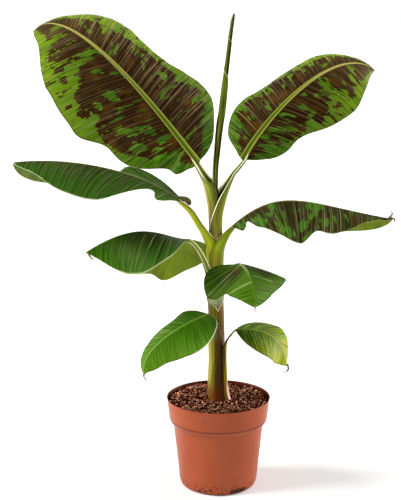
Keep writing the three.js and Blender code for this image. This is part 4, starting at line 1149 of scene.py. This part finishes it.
def buildFibres():
    # Coir and bark fibres: thin bent sticks with three sides
    rng = np.random.default_rng(72)
    count = soil["fibres"]
    bend = np.array([[-1, -0.15, 0], [-0.4, 0.06, 0], [0.3, 0.08, 0], [1, -0.12, 0]])
    around = np.radians([90, 210, 330])
    ring = np.stack([0 * around, np.cos(around), np.sin(around)], 1)
    length = rng.uniform(*soil["fibreLength"], count)[:, None, None, None] / 2
    thin = soil["fibreRadius"] * rng.uniform(0.6, 1.5, count)[:, None, None, None]
    points = (bend[:, None] * length + ring * thin).reshape(count, 12, 3)
    a = np.arange(9)
    b = a - a % 3 + (a + 1) % 3
    faces = np.vstack([np.stack([a, b, b + 3], 1), np.stack([a, b + 3, a + 3], 1), [[0, 2, 1], [9, 10, 11]]])
    heading = rng.uniform(0, 2 * np.pi, count)
    tilt = rng.normal(0, 0.16, count)
    along = np.stack([np.cos(heading) * np.cos(tilt), np.sin(heading) * np.cos(tilt), np.sin(tilt)], 1)
    side = np.stack([-np.sin(heading), np.cos(heading), 0 * heading], 1)
    turn = np.stack([along, side, np.cross(along, side)], 2)
    far = soil["fibreReach"] * np.sqrt(rng.uniform(0.06, 1, count))
    angle = rng.uniform(0, 2 * np.pi, count)
    x, y = far * np.cos(angle), far * np.sin(angle)
    place = np.stack([x, y, soilHeight(x, y) + rng.uniform(0.6, 1.6, count)], 1)
    scatterPiece("soil_fibres", points, faces, turn, place, fibreMaterial(), rng)


def crumbMaterial():
    # Mostly dark red-brown peat, with some tan crumbs and a few pale pinkish ones
    paint = Paint("crumbs", 0.9, 0.0)
    colour = "#160200"
    for new, low, high in (("#3e1004", 0.0, 0.75), ("#9c5438", 0.74, 0.9), ("#f4b898", 0.95, 0.98)):
        colour = paint.over(colour, new, paint.ramp(paint.mark("shade"), low, high))
    return paint.finish(colour, paint.noise(paint.place(), 700.0, 3.0), 0.6, 0.0006)


def fibreMaterial():
    paint = Paint("fibres", 0.8, 0.1)
    return paint.finish(paint.over("#2c0803", "#ffc09c", paint.ramp(paint.mark("shade"), 0.55, 0.95)))


buildSoil()
buildCrumbs()
buildFibres()
print("soil built")


# Studio: a pale floor, a world that is white round the horizon and darker above, and soft lamps
studio = {
    "floorSize": 60.0, "floorColour": "#f4f4f4",
    # World: strength at the horizon and overhead, and the heights (sine) between which it falls
    "horizon": 1.0, "overhead": 0.3, "fallFrom": 0.1, "fallTo": 0.45,
    # Suns: name, the way their light comes from, strength, angular size in degrees
    "suns": [["key", (-1.0, -0.12, 0.72), 4.5, 34], ["rim", (1.0, 0.4, 0.45), 4.2, 20]],
    "camera": (-0.029, -1.860, 0.786), "cameraTilt": 78, "lens": 86.4, "sensor": 36,
}


def buildWorld():
    # White at and below the horizon, falling smoothly to a dim grey overhead
    world = bpy.data.worlds.new("studio")
    world.use_nodes = True
    nodes, links = world.node_tree.nodes, world.node_tree.links
    direction = nodes.new("ShaderNodeTexCoord").outputs["Generated"]
    parts = nodes.new("ShaderNodeSeparateXYZ")
    fall = nodes.new("ShaderNodeMapRange")
    fall.interpolation_type = "SMOOTHSTEP"
    links.new(direction, parts.inputs[0])
    links.new(parts.outputs["Z"], fall.inputs["Value"])
    for socket, key in (("From Min", "fallFrom"), ("From Max", "fallTo"), ("To Min", "horizon"),
                        ("To Max", "overhead")):
        fall.inputs[socket].default_value = studio[key]
    links.new(fall.outputs["Result"], nodes["Background"].inputs["Strength"])
    nodes["Background"].inputs["Color"].default_value = (1, 1, 1, 1)
    bpy.context.scene.world = world


def aimed(toward):  # rotation that points a lamp along the opposite of toward
    x, y, z = toward
    return math.atan2(math.hypot(x, y), z), 0, math.atan2(x, -y)


def buildStudio():
    size = studio["floorSize"] / 2
    corners = [(-size, -size, 0), (size, -size, 0), (size, size, 0), (-size, size, 0)]
    mesh = bpy.data.meshes.new("floor")
    mesh.from_pydata(corners, [], [(0, 1, 2, 3)])
    mesh.materials.append(Paint("floor", 0.9, 0.1).finish(studio["floorColour"]))
    addObject("floor", mesh)
    for name, toward, strength, size in studio["suns"]:
        sun = bpy.data.lights.new(name, "SUN")
        sun.energy = strength
        sun.angle = math.radians(size)
        addObject(name, sun).rotation_euler = aimed(toward)
    camera = bpy.data.cameras.new("camera")
    camera.lens = studio["lens"]
    camera.sensor_width = studio["sensor"]
    holder = addObject("camera", camera)
    holder.location = studio["camera"]
    holder.rotation_euler = (math.radians(studio["cameraTilt"]), 0, 0)
    bpy.context.scene.camera = holder


buildWorld()
buildStudio()
bpy.context.scene.view_settings.view_transform = "Standard"
print("studio built")
